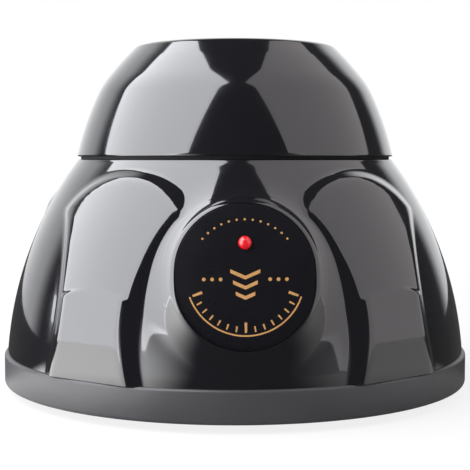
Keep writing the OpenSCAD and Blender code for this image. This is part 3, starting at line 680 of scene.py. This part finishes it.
def blended_steps(counts):
    """Steps between neighbouring key lines: the line before each, and the fraction of the way on."""
    return [(k, s / count) for k, count in enumerate(counts) for s in range(count)] + [(len(counts) - 1, 1.0)]


def half_sectors():
    """Middle angle, side and width in degrees of the ten half sectors, which meet between panels."""
    for k, middle in enumerate(PANEL_ANGLES):
        before, after = PANEL_ANGLES[k - 1], PANEL_ANGLES[(k + 1) % len(PANEL_ANGLES)]
        yield middle, -1.0, ((middle - before) % 360.0) / 2.0
        yield middle, 1.0, ((after - middle) % 360.0) / 2.0


def sector_places(top, half):
    """Angle and height of every skin vertex of a half sector, lines running along the panel's edges."""
    column_steps = blended_steps([9, 20, 26])
    row_steps = blended_steps([16, 14, 22, 20, 6])

    def wall_angle(z):
        return np.minimum(wall_line(z), WALL_END)

    def angles(z):
        wall, degrees = wall_angle(z), np.degrees(1.0 / arc_radius(DOME_ARC, z))
        lines = [np.zeros_like(z), wall - 3.4 * degrees, wall + 0.9 * degrees, np.full_like(z, half)]
        return np.stack([lines[k][:, c] * (1 - s) + lines[k + 1][:, c] * s
                         for c, (k, s) in enumerate(column_steps)], axis=1)

    def crossing(arch, rise, start):
        z = np.full((1, len(column_steps)), start)
        for _ in range(24):
            z = (z + arch_line(arch, rise, np.minimum(angles(z), wall_angle(z)))) / 2.0
        return z

    column = crossing(COLUMN_ARCH, HOOD_RAISE, 28.0)
    hood = crossing(HOOD_ARCH, 0.0, 54.0)
    level = np.ones_like(hood)
    heights = [TRAY_TOP * level, column - 1.4, column + 1.2, hood - 2.6, np.minimum(hood + 1.7, top - 0.8),
               top * level]
    z = np.concatenate([heights[k] * (1 - s) + heights[k + 1] * s for k, s in row_steps], axis=0)
    return angles(z), z


def skin_of_shell(top):
    """Open skin of the lower shell: a grid for each half sector, settled on the shell's form."""
    skin = bmesh.new()
    for middle, side, half in half_sectors():
        angle, height = sector_places(top, half)
        rows, columns = angle.shape
        bm = bmesh.new()
        bmesh.ops.create_grid(bm, x_segments=columns - 1, y_segments=rows - 1, size=1.0)
        order = sorted(bm.verts, key=lambda v: (round(v.co.y, 6), round(v.co.x, 6)))
        turn = np.radians(middle + side * angle)
        radius, lean = arc_radius(DOME_ARC, height), arc_lean(DOME_ARC, height)

        def place(t):
            out = radius + t * np.cos(lean)
            return out * np.sin(turn), -out * np.cos(turn), height + t * np.sin(lean)

        t = settle(shell_gap, place, np.full_like(radius, -0.5), np.full_like(radius, 6.0))
        # The top and bottom edges stay level, and the skin sinks below the label's own pad
        level = (height <= TRAY_TOP + 1e-6) | (height >= top - 1e-6)
        u, v, w = pad_axes(*place(t))
        sink = np.clip((18.4 - np.hypot(u, v)) / 1.4, 0.0, 1.0) * (w > -8.0)
        x, y, z = place(t - 1.3 * sink * sink * (3.0 - 2.0 * sink))
        z = np.where(level, height, z)
        for vert, point in zip(order, np.stack([x.ravel(), y.ravel(), z.ravel()], axis=1)):
            vert.co = point
        if side < 0:
            bmesh.ops.reverse_faces(bm, faces=bm.faces)
        merge_into(skin, bm)
    bmesh.ops.remove_doubles(skin, verts=skin.verts, dist=1e-3)
    return skin


def carried_loop(bm, loop, profile):
    """Extrudes a level loop of edges through (radius, height) stations and returns the last loop."""
    for radius, z in profile:
        grown = bmesh.ops.extrude_edge_only(bm, edges=loop)
        for vert in verts_of(grown):
            flat = math.hypot(vert.co.x, vert.co.y)
            vert.co = (vert.co.x * radius / flat, vert.co.y * radius / flat, z)
        loop = edges_of(grown)
    return loop


def open_loop(bm, z):
    return [e for e in bm.edges if e.is_boundary and all(abs(v.co.z - z) < 1e-3 for v in e.verts)]


def label_pad():
    """Rim, recess and skirt of the label pad, its rings running along the pad's edge."""
    around = 192
    radii = [*np.linspace(PATCH_R, 18.2, 8), *np.linspace(18.0, RECESS_R + 0.2, 14),
             RECESS_R + 0.12, RECESS_R + 0.04, RECESS_R, RECESS_R]
    bm = bmesh.new()
    bmesh.ops.create_circle(bm, cap_ends=False, segments=around, radius=1.0)
    theta = np.array([math.atan2(v.co.y, v.co.x) for v in bm.verts])
    loop = list(bm.edges)
    ring = list(bm.verts)

    def spread(radius):
        return radius * np.cos(theta), radius * np.sin(theta) + np.clip(6.0 * np.sin(theta), -OVAL, OVAL)

    drops = {len(radii) - 3: -0.03, len(radii) - 2: -0.1}
    for k, radius in enumerate(radii):
        u, v = spread(radius)
        w = settle(shell_gap, lambda t: pad_place(u, v, t), np.full_like(u, -7.0), np.full_like(u, 1.0))
        # The patch lies a hair over the skin and dips under it at its outer edge
        w = w + np.interp(radius, (PATCH_R - 0.6, PATCH_R), (0.02, -0.1)) + drops.get(k, 0.0)
        if k == len(radii) - 1:
            w = np.full_like(u, -RECESS - 0.1)
        places = np.stack(pad_place(u, v, w), axis=1)
        if k:
            grown = bmesh.ops.extrude_edge_only(bm, edges=loop)
            previous = {vert: i for i, vert in enumerate(ring)}
            match = {}
            for vert in verts_of(grown):
                base = next(e.other_vert(vert) for e in vert.link_edges if e.other_vert(vert) in previous)
                match[previous[base]] = vert
            ring = [match[i] for i in range(around)]
            loop = edges_of(grown)
        for vert, place in zip(ring, places):
            vert.co = place
    bmesh.ops.contextual_create(bm, geom=loop)
    back = bmesh.ops.extrude_edge_only(bm, edges=[e for e in bm.edges if e.is_boundary])
    inward = Vector(pad_place(0.0, 0.0, -1.0)) - Vector(pad_place(0.0, 0.0, 0.0))
    bmesh.ops.translate(bm, vec=inward, verts=verts_of(back))
    bmesh.ops.contextual_create(bm, geom=edges_of(back))
    outwards(bm)
    return bm


def lower_shell():
    top = LOWER_TOP - 0.3
    bm = skin_of_shell(top)
    edge = float(arc_radius(DOME_ARC, top))
    lip = [(edge - 0.05, top + 0.11), (edge - 0.14, top + 0.21), (edge - 0.27, top + 0.28),
           (edge - 0.45, LOWER_TOP), (38.6, LOWER_TOP), (DECK_R + 0.6, LOWER_TOP),
           (DECK_R + 0.15, LOWER_TOP - 0.12), (DECK_R, LOWER_TOP - 0.5), (DECK_R, LOWER_TOP - 2.4),
           (36.0, LOWER_TOP - 2.4)]
    inner = [(float(arc_radius(DOME_ARC, z)) - WALL / math.cos(float(arc_lean(DOME_ARC, z))), z)
             for z in np.linspace(LOWER_TOP - 3.0, TRAY_TOP, 22)]
    carried_loop(bm, open_loop(bm, top), lip + inner)
    bmesh.ops.bridge_loops(bm, edges=open_loop(bm, TRAY_TOP))
    outwards(bm)
    for angle in TOWER_ANGLES:
        tower = [(1.5, 7.0), (TOWER_R, 7.0), (TOWER_R, 31.0), (1.5, 31.0)]
        merge_into(bm, spun(tower, steps=32, centre=on_circle(angle, TOWER_RING)))
    piece = finished("lower_shell", bm, MATERIALS["gloss_shell"], "case", ["lower_housing"])
    holes = [rod((0, 50, INLET_Z), (0, 70, INLET_Z), 4.1, 64),
             rod((0, INLET_FACE, INLET_Z), (0, 70, INLET_Z), 6.0, 96),
             block((-8.5, -11.5, -1.2), (8.5, 11.5, 6.0), place=ROCKER_FRAME),
             block((-7.0, -10.1, -9.0), (7.0, 10.1, 6.0), place=ROCKER_FRAME)]
    for angle in TOP_SCREW_ANGLES:
        x, y = on_circle(angle, TOP_SCREW_RING)
        holes.append(rod((x, y, LOWER_TOP - 6), (x, y, LOWER_TOP + 3), 1.6, 32))
    cut(piece, holes)
    add_to(piece, label_pad())
    piece.data.shade_smooth()
    piece.data.set_sharp_from_angle(angle=math.radians(38))
    return piece


# ---------------------------------------------------------------- upper shell

def crown_point(z, inset=0.0):
    """Radius of the upper shell's outer or inner face at a height."""
    arcs = [(x, centre_z, r - inset) for x, centre_z, r in (CROWN_ARC, SHOULDER_ARC)]
    return float(soft_min(*(arc_radius(arc, z) for arc in arcs), 0.5))


def upper_shell():
    low = UPPER_BOTTOM
    rim_centre = (25.73, RIM_Z - 2.4)
    start = crown_point(low + 0.35)
    outline = [(start - 0.45, low), (start - 0.27, low + 0.03), (start - 0.12, low + 0.12),
               (start - 0.03, low + 0.24)]
    outline += [(crown_point(z), z) for z in np.linspace(low + 0.4, 88.0, 60)]
    lean = math.degrees(math.asin((88.6 - SHOULDER_ARC[1]) / SHOULDER_ARC[2]))
    outline += arc_points(*rim_centre, 2.4, lean, 90.0, 14)
    outline += arc_points(MOUTH_R + 0.8, RIM_Z - 0.8, 0.8, 90.0, 180.0, 8)
    outline += arc_points(MOUTH_R + 0.8, RIM_Z - 8.2, 0.8, 180.0, 270.0, 5)
    outline += arc_points(MOUTH_R + 1.4, RIM_Z - 8.2, 0.8, 270.0, 360.0, 5)
    outline += [(MOUTH_R + 2.2, RIM_Z - WALL - 0.6), (MOUTH_R + 2.5, RIM_Z - WALL - 0.1)]
    outline += [(crown_point(z, WALL), z) for z in np.linspace(RIM_Z - WALL - 0.9, low + 0.4, 26)]
    outline += [(crown_point(low + 0.2, WALL), LOWER_TOP), (41.6, LOWER_TOP), (41.8, LOWER_TOP + 0.2),
                (41.8, low)]
    bm = spun(outline, steps=256)
    return finished("upper_shell", bm, MATERIALS["gloss_shell"], "case", ["upper_housing"])


# ---------------------------------------------------------------- base

def tray():
    ring = arc_points(BASE_R - 0.9, FOOT_H + 0.9, 0.9, 270.0, 360.0, 7)
    ring += arc_points(BASE_R - 0.7, TRAY_TOP - 0.7, 0.7, 0.0, 90.0, 7)
    ring += [(59.2, TRAY_TOP), (59.1, TRAY_TOP + 0.1), (59.1, TRAY_TOP + 0.8), (57.6, TRAY_TOP + 0.8),
             (57.6, TRAY_TOP - 0.6), (57.0, TRAY_TOP - 0.8), (57.0, FLOOR_TOP + 0.4), (56.6, FLOOR_TOP),
             (0.0, FLOOR_TOP), (0.0, FOOT_H)]
    bm = spun(ring, steps=256)
    for angle in TOWER_ANGLES:
        x, y = on_circle(angle, TOWER_RING)
        merge_into(bm, rod((x, y, FLOOR_TOP - 0.5), (x, y, 7.0), TOWER_R, 48))
    for angle in POST_ANGLES:
        x, y = on_circle(angle, POST_RING)
        merge_into(bm, rod((x, y, FLOOR_TOP - 0.5), (x, y, 20.0), 5.0, 48))
    for x, y in ((-12.5, 38.5), (12.5, 38.5), (-12.5, 28.0), (12.5, 25.0)):
        merge_into(bm, rod((x, y, FLOOR_TOP - 0.5), (x, y, 12.0), 2.4, 32))
    piece = finished("tray", bm, MATERIALS["satin_tray"], "case", ["base_tray"])
    holes = []
    for angle in TOWER_ANGLES:
        x, y = on_circle(angle, TOWER_RING)
        holes += [rod((x, y, 0.0), (x, y, FOOT_H + 3.0), 3.1, 48), rod((x, y, 4.0), (x, y, 9.0), 1.6, 32)]
    cut(piece, holes)
    return piece


def feet():
    bm = bmesh.new()
    for angle in FOOT_ANGLES:
        outline = [(0.0, 0.0), (5.6, 0.0), (6.2, 0.18), (6.5, 0.6), (6.5, FOOT_H), (2.0, FOOT_H),
                   (2.0, FLOOR_TOP), (2.6, FLOOR_TOP + 0.05), (1.6, FLOOR_TOP + 1.4), (0.0, FLOOR_TOP + 1.4)]
        merge_into(bm, spun(outline, steps=48, centre=on_circle(angle, FOOT_RING)))
    return finished("feet", bm, MATERIALS["black_rubber"], "case", ["rubber_feet"])


# ---------------------------------------------------------------- label and lamp

def oval_disc(radius, low, high, edge):
    """Flat two-centred oval with a rounded upper edge, in the pad's frame."""
    bm = bmesh.new()
    bmesh.ops.create_circle(bm, cap_ends=True, segments=160, radius=1.0)
    for vert in bm.verts:
        turn = math.atan2(vert.co.y, vert.co.x)
        shift = max(-OVAL, min(OVAL, 6.0 * math.sin(turn)))
        vert.co = (radius * math.cos(turn), radius * math.sin(turn) + shift, low)
    grown = bmesh.ops.extrude_face_region(bm, geom=list(bm.faces))
    bmesh.ops.translate(bm, vec=(0, 0, high - low), verts=verts_of(grown))
    outwards(bm)
    rounded(bm, [e for e in bm.edges if all(abs(v.co.z - high) < 1e-6 for v in e.verts)], edge)
    return bm


def on_pad(bm):
    bmesh.ops.transform(bm, matrix=PAD_FRAME, verts=bm.verts)
    return bm


def label():
    bm = on_pad(oval_disc(LABEL_R, -RECESS, -RECESS + LABEL_T, 0.12))
    piece = finished("label", bm, MATERIALS["label_face"], "case", ["label_plate"])
    centre = PAD_FRAME @ Vector((0, LAMP_UP, -3))
    cut(piece, [rod(centre, PAD_FRAME @ Vector((0, LAMP_UP, 3)), LAMP_R + 0.05, 64)])
    return piece


def ring_band(radius, width, low, high, start, end, steps):
    """Flat curved band in the pad's frame, angles in degrees."""
    bm = bmesh.new()
    face = bm.faces.new([bm.verts.new((radius + w, 0.0, z)) for w, z in
                         ((-width / 2, low), (width / 2, low), (width / 2, high), (-width / 2, high))])
    bmesh.ops.rotate(bm, cent=(0, 0, 0), matrix=Matrix.Rotation(math.radians(start), 3, "Z"), verts=bm.verts)
    whole = abs(end - start - 360.0) < 1e-6
    bmesh.ops.spin(bm, geom=[face] if not whole else list(face.edges), cent=(0, 0, 0), axis=(0, 0, 1),
                   angle=math.radians(end - start), steps=steps, use_merge=whole)
    if whole:
        bm.faces.remove(face)
    bmesh.ops.remove_doubles(bm, verts=bm.verts, dist=1e-5)
    outwards(bm)
    return bm


def flat_shape(points, low, high, at=(0.0, 0.0), turn=0.0):
    """Flat plate with a drawn outline, turned and put in its place on the label."""
    bm = bmesh.new()
    face = bm.faces.new([bm.verts.new((x, y, low)) for x, y in points])
    grown = bmesh.ops.extrude_face_region(bm, geom=[face])
    bmesh.ops.translate(bm, vec=(0, 0, high - low), verts=verts_of(grown))
    outwards(bm)
    bmesh.ops.rotate(bm, cent=(0, 0, 0), matrix=Matrix.Rotation(math.radians(turn), 3, "Z"), verts=bm.verts)
    bmesh.ops.translate(bm, vec=(at[0], at[1], 0.0), verts=bm.verts)
    return bm


def print_marks():
    """Plain gold dial: ticks round the lower edge, dots round the upper one and three chevrons."""
    low = -RECESS + LABEL_T - 0.03
    high = low + 0.055
    bm = ring_band(13.4, 0.35, low, high, 200.0, 340.0, 60)
    for k in range(15):
        turn = 200.0 + 10.0 * k
        long = k % 7 == 0
        reach = (10.4 if long else 11.4, 12.7)
        wide = 0.32 if long else 0.2
        tick = [(reach[0], -wide), (reach[1], -wide * 0.8), (reach[1], wide * 0.8), (reach[0], wide)]
        merge_into(bm, flat_shape(tick, low, high, turn=turn))
    for k in range(3):
        half, drop, thick = 3.4 - 0.6 * k, 1.5 - 0.25 * k, 0.85
        arrow = [(-half, drop), (0.0, 0.0), (half, drop),
                 (half, drop - thick), (0.0, -thick), (-half, drop - thick)]
        merge_into(bm, flat_shape(arrow[::-1], low, high, at=(0.0, 0.2 - 2.3 * k)))
    dots = [(side * (5.6 + 1.9 * k), -0.6, 0.42) for side in (-1, 1) for k in range(3)]
    dots += [(12.6 * math.cos(math.radians(a)), 12.6 * math.sin(math.radians(a)) + 0.6, 0.26)
             for a in np.linspace(40.0, 140.0, 13)]
    for x, y, r in dots:
        circle = [(r * math.cos(a), r * math.sin(a)) for a in np.linspace(0, 2 * math.pi, 20, endpoint=False)]
        merge_into(bm, flat_shape(circle, low, high, at=(x, y)))
    on_pad(bm)
    return finished("label_print", bm, GOLD, "case")


def lamp():
    r = LAMP_R - 0.05
    outline = [(0.0, -6.4), (2.0, -6.4), (2.0, -5.5), (r, -5.5), (r, 0.0)]
    outline += arc_points(0.0, 0.0, r, 8.0, 89.0, 12) + [(0.0, r)]
    bm = spun(outline, steps=64)
    bmesh.ops.translate(bm, vec=(0, LAMP_UP, 0), verts=bm.verts)
    on_pad(bm)
    return finished("lamp", bm, MATERIALS["lamp_lens"], "case", ["indicator_lamp"])


# ---------------------------------------------------------------- cup

def cup():
    low, top, well = 70.0, 90.5, 80.0
    outline = [(6.0, low), (15.3, low), (15.7, low + 0.3), (CUP_R - 0.8, low + 5.0), (CUP_R - 0.8, top - 4.4)]
    outline += [(CUP_R - 0.7, top - 4.1), (CUP_R - 0.3, top - 3.9), (CUP_R, top - 3.4)]
    outline += arc_points(CUP_R - 1.0, top - 1.0, 1.0, 0.0, 90.0, 8)
    outline += [(15.9, top), (15.5, top - 0.1), (15.2, top - 0.5)]
    slope = [(15.2 - 7.0 * s, top - 0.5 - (top - 1.0 - well) * s) for s in np.linspace(0.0, 1.0, 29)[1:]]
    for k, (r, z) in enumerate(slope[:-1]):
        outline.append((r - (0.28 if k % 4 == 2 else 0.0), z))
    outline += [(8.3, well + 0.5), (8.0, well + 0.12), (7.6, well), (0.0, well), (0.0, 76.0), (6.0, 76.0)]
    bm = spun(outline, steps=128, centre=(ORBIT, 0.0))
    return finished("cup", bm, MATERIALS["black_rubber"], "cup", ["rubber_cup"], angle=50)


# ---------------------------------------------------------------- back: inlet and rocker

def inlet():
    outline = [(2.9, 52.0), (2.9, 62.3), (3.3, 62.7), (5.1, 62.7), (5.45, 62.45), (5.5, 61.2), (4.0, 61.2),
               (4.0, 48.0), (0.8, 48.0), (0.8, 52.0)]
    bm = spun(outline, steps=96)
    turn = Matrix.Translation((0, 0, INLET_Z)) @ Matrix.Rotation(math.radians(-90), 4, "X")
    bmesh.ops.transform(bm, matrix=turn, verts=bm.verts)
    for x in (-2.0, 2.0):
        merge_into(bm, block((-0.4, 44.5, INLET_Z + x - 1.0), (0.4, 48.5, INLET_Z + x + 1.0), edge=0.1))
    return finished("inlet", bm, MATERIALS["black_plastic"], "case", ["inlet_body"])


def rocker_surround():
    bm = block((-8.2, -11.2, -1.2), (8.2, 11.2, 0.8), edge=0.35, place=ROCKER_FRAME)
    piece = finished("rocker_surround", bm, MATERIALS["black_plastic"], "case",
                     ["rocker_frame"])
    cut(piece, [block((-6.0, -9.2, -7.0), (6.0, 9.2, 6.0), place=ROCKER_FRAME)])
    well = bmesh.new()
    for low, high in (((-6.9, -10.0, -12.0), (-6.0, 10.0, -1.0)), ((6.0, -10.0, -12.0), (6.9, 10.0, -1.0)),
                      ((-6.0, -10.0, -12.0), (6.0, -9.2, -1.0)), ((-6.0, 9.2, -12.0), (6.0, 10.0, -1.0)),
                      ((-6.0, -9.2, -12.0), (6.0, 9.2, -7.0))):
        merge_into(well, block(low, high, place=ROCKER_FRAME))
    add_to(piece, well)
    return piece


def rocker():
    tilt = Matrix.Translation((0, 0, PIVOT_DEPTH)) @ Matrix.Rotation(math.radians(ROCKER_TILT), 4, "X")
    outline = [(-8.5, 4.4), (0.0, 3.2), (8.5, 4.4), (8.5, 0.0), (3.0, -2.6), (-3.0, -2.6), (-8.5, 0.0)]
    bm = bmesh.new()
    face = bm.faces.new([bm.verts.new((-5.7, y, z)) for y, z in outline])
    grown = bmesh.ops.extrude_face_region(bm, geom=[face])
    bmesh.ops.translate(bm, vec=(11.4, 0, 0), verts=verts_of(grown))
    outwards(bm)
    rounded(bm, list(bm.edges), 0.35)
    merge_into(bm, rod((-6.4, 0, 0), (6.4, 0, 0), 1.0, 32))
    bmesh.ops.transform(bm, matrix=ROCKER_FRAME @ tilt, verts=bm.verts)
    paddle = finished("rocker", bm, MATERIALS["black_plastic"], "paddle", ["rocker_paddle"])
    slope = math.atan2(1.2, 8.5)
    marks = bmesh.new()
    merge_into(marks, block((-0.3, 3.4, -0.02), (0.3, 6.4, 0.04),
                            place=Matrix.Translation((0, 0, 3.2)) @ Matrix.Rotation(slope, 4, "X")))
    ring = ring_band(1.4, 0.5, -0.02, 0.04, 0.0, 360.0, 48)
    lower_face = Matrix.Translation((0, 0, 3.2)) @ Matrix.Rotation(-slope, 4, "X")
    bmesh.ops.transform(ring, matrix=lower_face @ Matrix.Translation((0, -4.9, 0)), verts=ring.verts)
    merge_into(marks, ring)
    bmesh.ops.transform(marks, matrix=ROCKER_FRAME @ tilt, verts=marks.verts)
    finished("rocker_marks", marks, MATERIALS["pale_plastic"], "paddle")
    return paddle


# ---------------------------------------------------------------- springs

def springs():
    """Three coil springs round the posts."""
    wire, coil_r, turns, low, high = 0.35, 3.1, 6, 35.5, 50.0
    steps = 28
    bm = bmesh.new()
    for angle in POST_ANGLES:
        cx, cy = on_circle(angle, POST_RING)
        start = Vector((cx + coil_r, cy, low + wire + 0.1))
        upright = Matrix.Translation(start) @ Matrix.Rotation(math.radians(90), 4, "X")
        circle = bmesh.ops.create_circle(bm, cap_ends=True, segments=10, radius=wire, matrix=upright)
        faces = list({f for v in circle["verts"] for f in v.link_faces})
        rise = (high - low - 2 * wire - 0.2) / (turns * steps)
        bmesh.ops.spin(bm, geom=faces, cent=(cx, cy, 0), axis=(0, 0, 1), dvec=(0, 0, rise),
                       angle=2 * math.pi * turns, steps=turns * steps, use_merge=False)
    outwards(bm)
    piece = finished("springs", bm, MATERIALS["spring_wire"], "case", ["return_springs"])
    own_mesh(piece)
    return piece


# ---------------------------------------------------------------- studio

LIGHT_AIM = (0.0, 0.0, 0.045)
SOFTBOX = (0.62, 0.755)


def area_light(name, place, size, radiance, color):
    """Flat softbox that faces the machine, its brightness given as radiance."""
    data = bpy.data.lights.new(name, "AREA")
    data.shape = "RECTANGLE"
    data.size, data.size_y = size
    data.color = color
    data.energy = radiance * math.pi * size[0] * size[1]
    light = bpy.data.objects.new(name, data)
    light.location = place
    light.rotation_euler = (Vector(LIGHT_AIM) - Vector(place)).to_track_quat("-Z", "Y").to_euler()
    bpy.context.scene.collection.objects.link(light)
    return light


def side_glow(nodes, links, x, y, left, right):
    """Brightness of the room at floor level, left and right of the machine, by direction."""
    left = ranged(nodes, links, x, (-0.85, -0.35), (left, 0.0))
    right = ranged(nodes, links, x, (0.35, 0.85), (0.0, right))
    front = ranged(nodes, links, y, (-0.1, 0.1), (1.0, 0.0))
    return combined(nodes, links, "MULTIPLY", combined(nodes, links, "ADD", left, right), front)


def world():
    """White for the camera; for everything else a white backdrop behind and a dim room in front."""
    made = bpy.data.worlds.new("studio")
    bpy.context.scene.world = made
    made.use_nodes = True
    nodes, links = made.node_tree.nodes, made.node_tree.links
    nodes.clear()
    out = nodes.new("ShaderNodeOutputWorld")
    seen, room = nodes.new("ShaderNodeBackground"), nodes.new("ShaderNodeBackground")
    seen.inputs["Color"].default_value = (1.0, 1.0, 1.0, 1.0)
    path = nodes.new("ShaderNodeLightPath").outputs
    x, y, z = axes_of(nodes, links, nodes.new("ShaderNodeTexCoord").outputs["Generated"])
    behind = combined(nodes, links, "ADD", y, combined(nodes, links, "MULTIPLY", x, -0.12))
    fade = ranged(nodes, links, behind, (0.5, 0.7), (0.06, 0.95))
    low = ranged(nodes, links, z, (0.02, 0.35), (1.0, 0.0))
    low = combined(nodes, links, "MULTIPLY", low, path["Is Glossy Ray"])
    low = combined(nodes, links, "MULTIPLY", low, ranged(nodes, links, y, (-0.68, -0.6), (1.0, 0.0)))
    glow = combined(nodes, links, "MULTIPLY", side_glow(nodes, links, x, y, 3.8, 0.4), low)
    links.new(combined(nodes, links, "ADD", fade, glow), room.inputs["Strength"])
    room.inputs["Color"].default_value = (0.97, 0.98, 1.0, 1.0)
    mix = nodes.new("ShaderNodeMixShader")
    links.new(path["Is Camera Ray"], mix.inputs["Fac"])
    links.new(room.outputs["Background"], mix.inputs[1])
    links.new(seen.outputs["Background"], mix.inputs[2])
    links.new(mix.outputs["Shader"], out.inputs["Surface"])


def floor():
    """Pale sheet: white towards the horizon; in reflections it shows painted light from the left and right,
    and a painted shadow round the machine's foot.
    """
    bm = bmesh.new()
    bmesh.ops.create_circle(bm, cap_ends=True, segments=96, radius=3.0)
    mesh = bpy.data.meshes.new("floor")
    bm.to_mesh(mesh)
    bm.free()
    ground = bpy.data.objects.new("floor", mesh)
    bpy.context.scene.collection.objects.link(ground)
    material = bpy.data.materials.new("floor")
    material.use_nodes = True
    nodes, links = material.node_tree.nodes, material.node_tree.links
    nodes.clear()
    out = nodes.new("ShaderNodeOutputMaterial")
    matt, white = nodes.new("ShaderNodeBsdfDiffuse"), nodes.new("ShaderNodeEmission")
    matt.inputs["Color"].default_value = (0.86, 0.86, 0.87, 1.0)
    path = nodes.new("ShaderNodeLightPath").outputs
    where = object_place(nodes)
    length, bearing = nodes.new("ShaderNodeVectorMath"), nodes.new("ShaderNodeVectorMath")
    length.operation, bearing.operation = "LENGTH", "NORMALIZE"
    links.new(where, bearing.inputs[0])
    links.new(where, length.inputs[0])
    x, y, _ = axes_of(nodes, links, bearing.outputs["Vector"])
    away = length.outputs["Value"]
    seen = ranged(nodes, links, away, (0.10, 0.28), (0.84, 1.0))
    seen = combined(nodes, links, "MULTIPLY", seen, path["Is Camera Ray"])
    share = combined(nodes, links, "ADD", seen, path["Is Glossy Ray"])
    # Painted light in reflections: a glow left and right of the machine, held off near its foot as a painted
    # shadow of the machine.
    clear_of_painted_shadow = ranged(nodes, links, away, (0.04, 0.12), (0.0, 1.0))
    painted_glow = combined(nodes, links, "MULTIPLY", side_glow(nodes, links, x, y, 3.8, 0.6), clear_of_painted_shadow)
    painted_glow = combined(nodes, links, "ADD", painted_glow, 0.06)
    painted_glow = combined(nodes, links, "MULTIPLY", painted_glow, path["Is Glossy Ray"])
    strength = combined(nodes, links, "ADD", painted_glow, path["Is Camera Ray"])
    links.new(strength, white.inputs["Strength"])
    mix = nodes.new("ShaderNodeMixShader")
    links.new(share, mix.inputs["Fac"])
    links.new(matt.outputs["BSDF"], mix.inputs[1])
    links.new(white.outputs["Emission"], mix.inputs[2])
    links.new(mix.outputs["Shader"], out.inputs["Surface"])
    mesh.materials.append(material)


def camera():
    distance, azimuth, pitch = 0.3125, math.radians(-2.35), math.radians(3.87)
    data = bpy.data.cameras.new("front")
    data.sensor_width, data.lens = 36.0, 87.2
    data.clip_start, data.clip_end = 0.01, 20.0
    eye = bpy.data.objects.new("front", data)
    eye.location = (distance * math.sin(azimuth), -distance * math.cos(azimuth), SEAM_Z * MM)
    eye.rotation_euler = (math.pi / 2 - pitch, 0.0, azimuth)
    bpy.context.scene.collection.objects.link(eye)
    bpy.context.scene.camera = eye


def studio():
    camera()
    world()
    floor()
    area_light("left_softbox", (-0.36, -0.11, 0.32), SOFTBOX, 4.6, (0.95, 0.96, 1.0))
    area_light("right_softbox", (0.36, -0.11, 0.32), SOFTBOX, 0.88, (1.0, 0.95, 0.97))
    bpy.context.scene.view_settings.view_transform = "Standard"


# ---------------------------------------------------------------- everything

studio()
slots = {entry["node"]: entry["material_slot"] for entry in frame["record"]["subparts"]}
for node, piece in frame["nodes"].items():
    piece.data.materials.clear()
    piece.data.materials.append(MATERIALS[slots[node]])

lower_shell()
upper_shell()
tray()
feet()
label()
print_marks()
lamp()
cup()
inlet()
rocker_surround()
rocker()
springs()
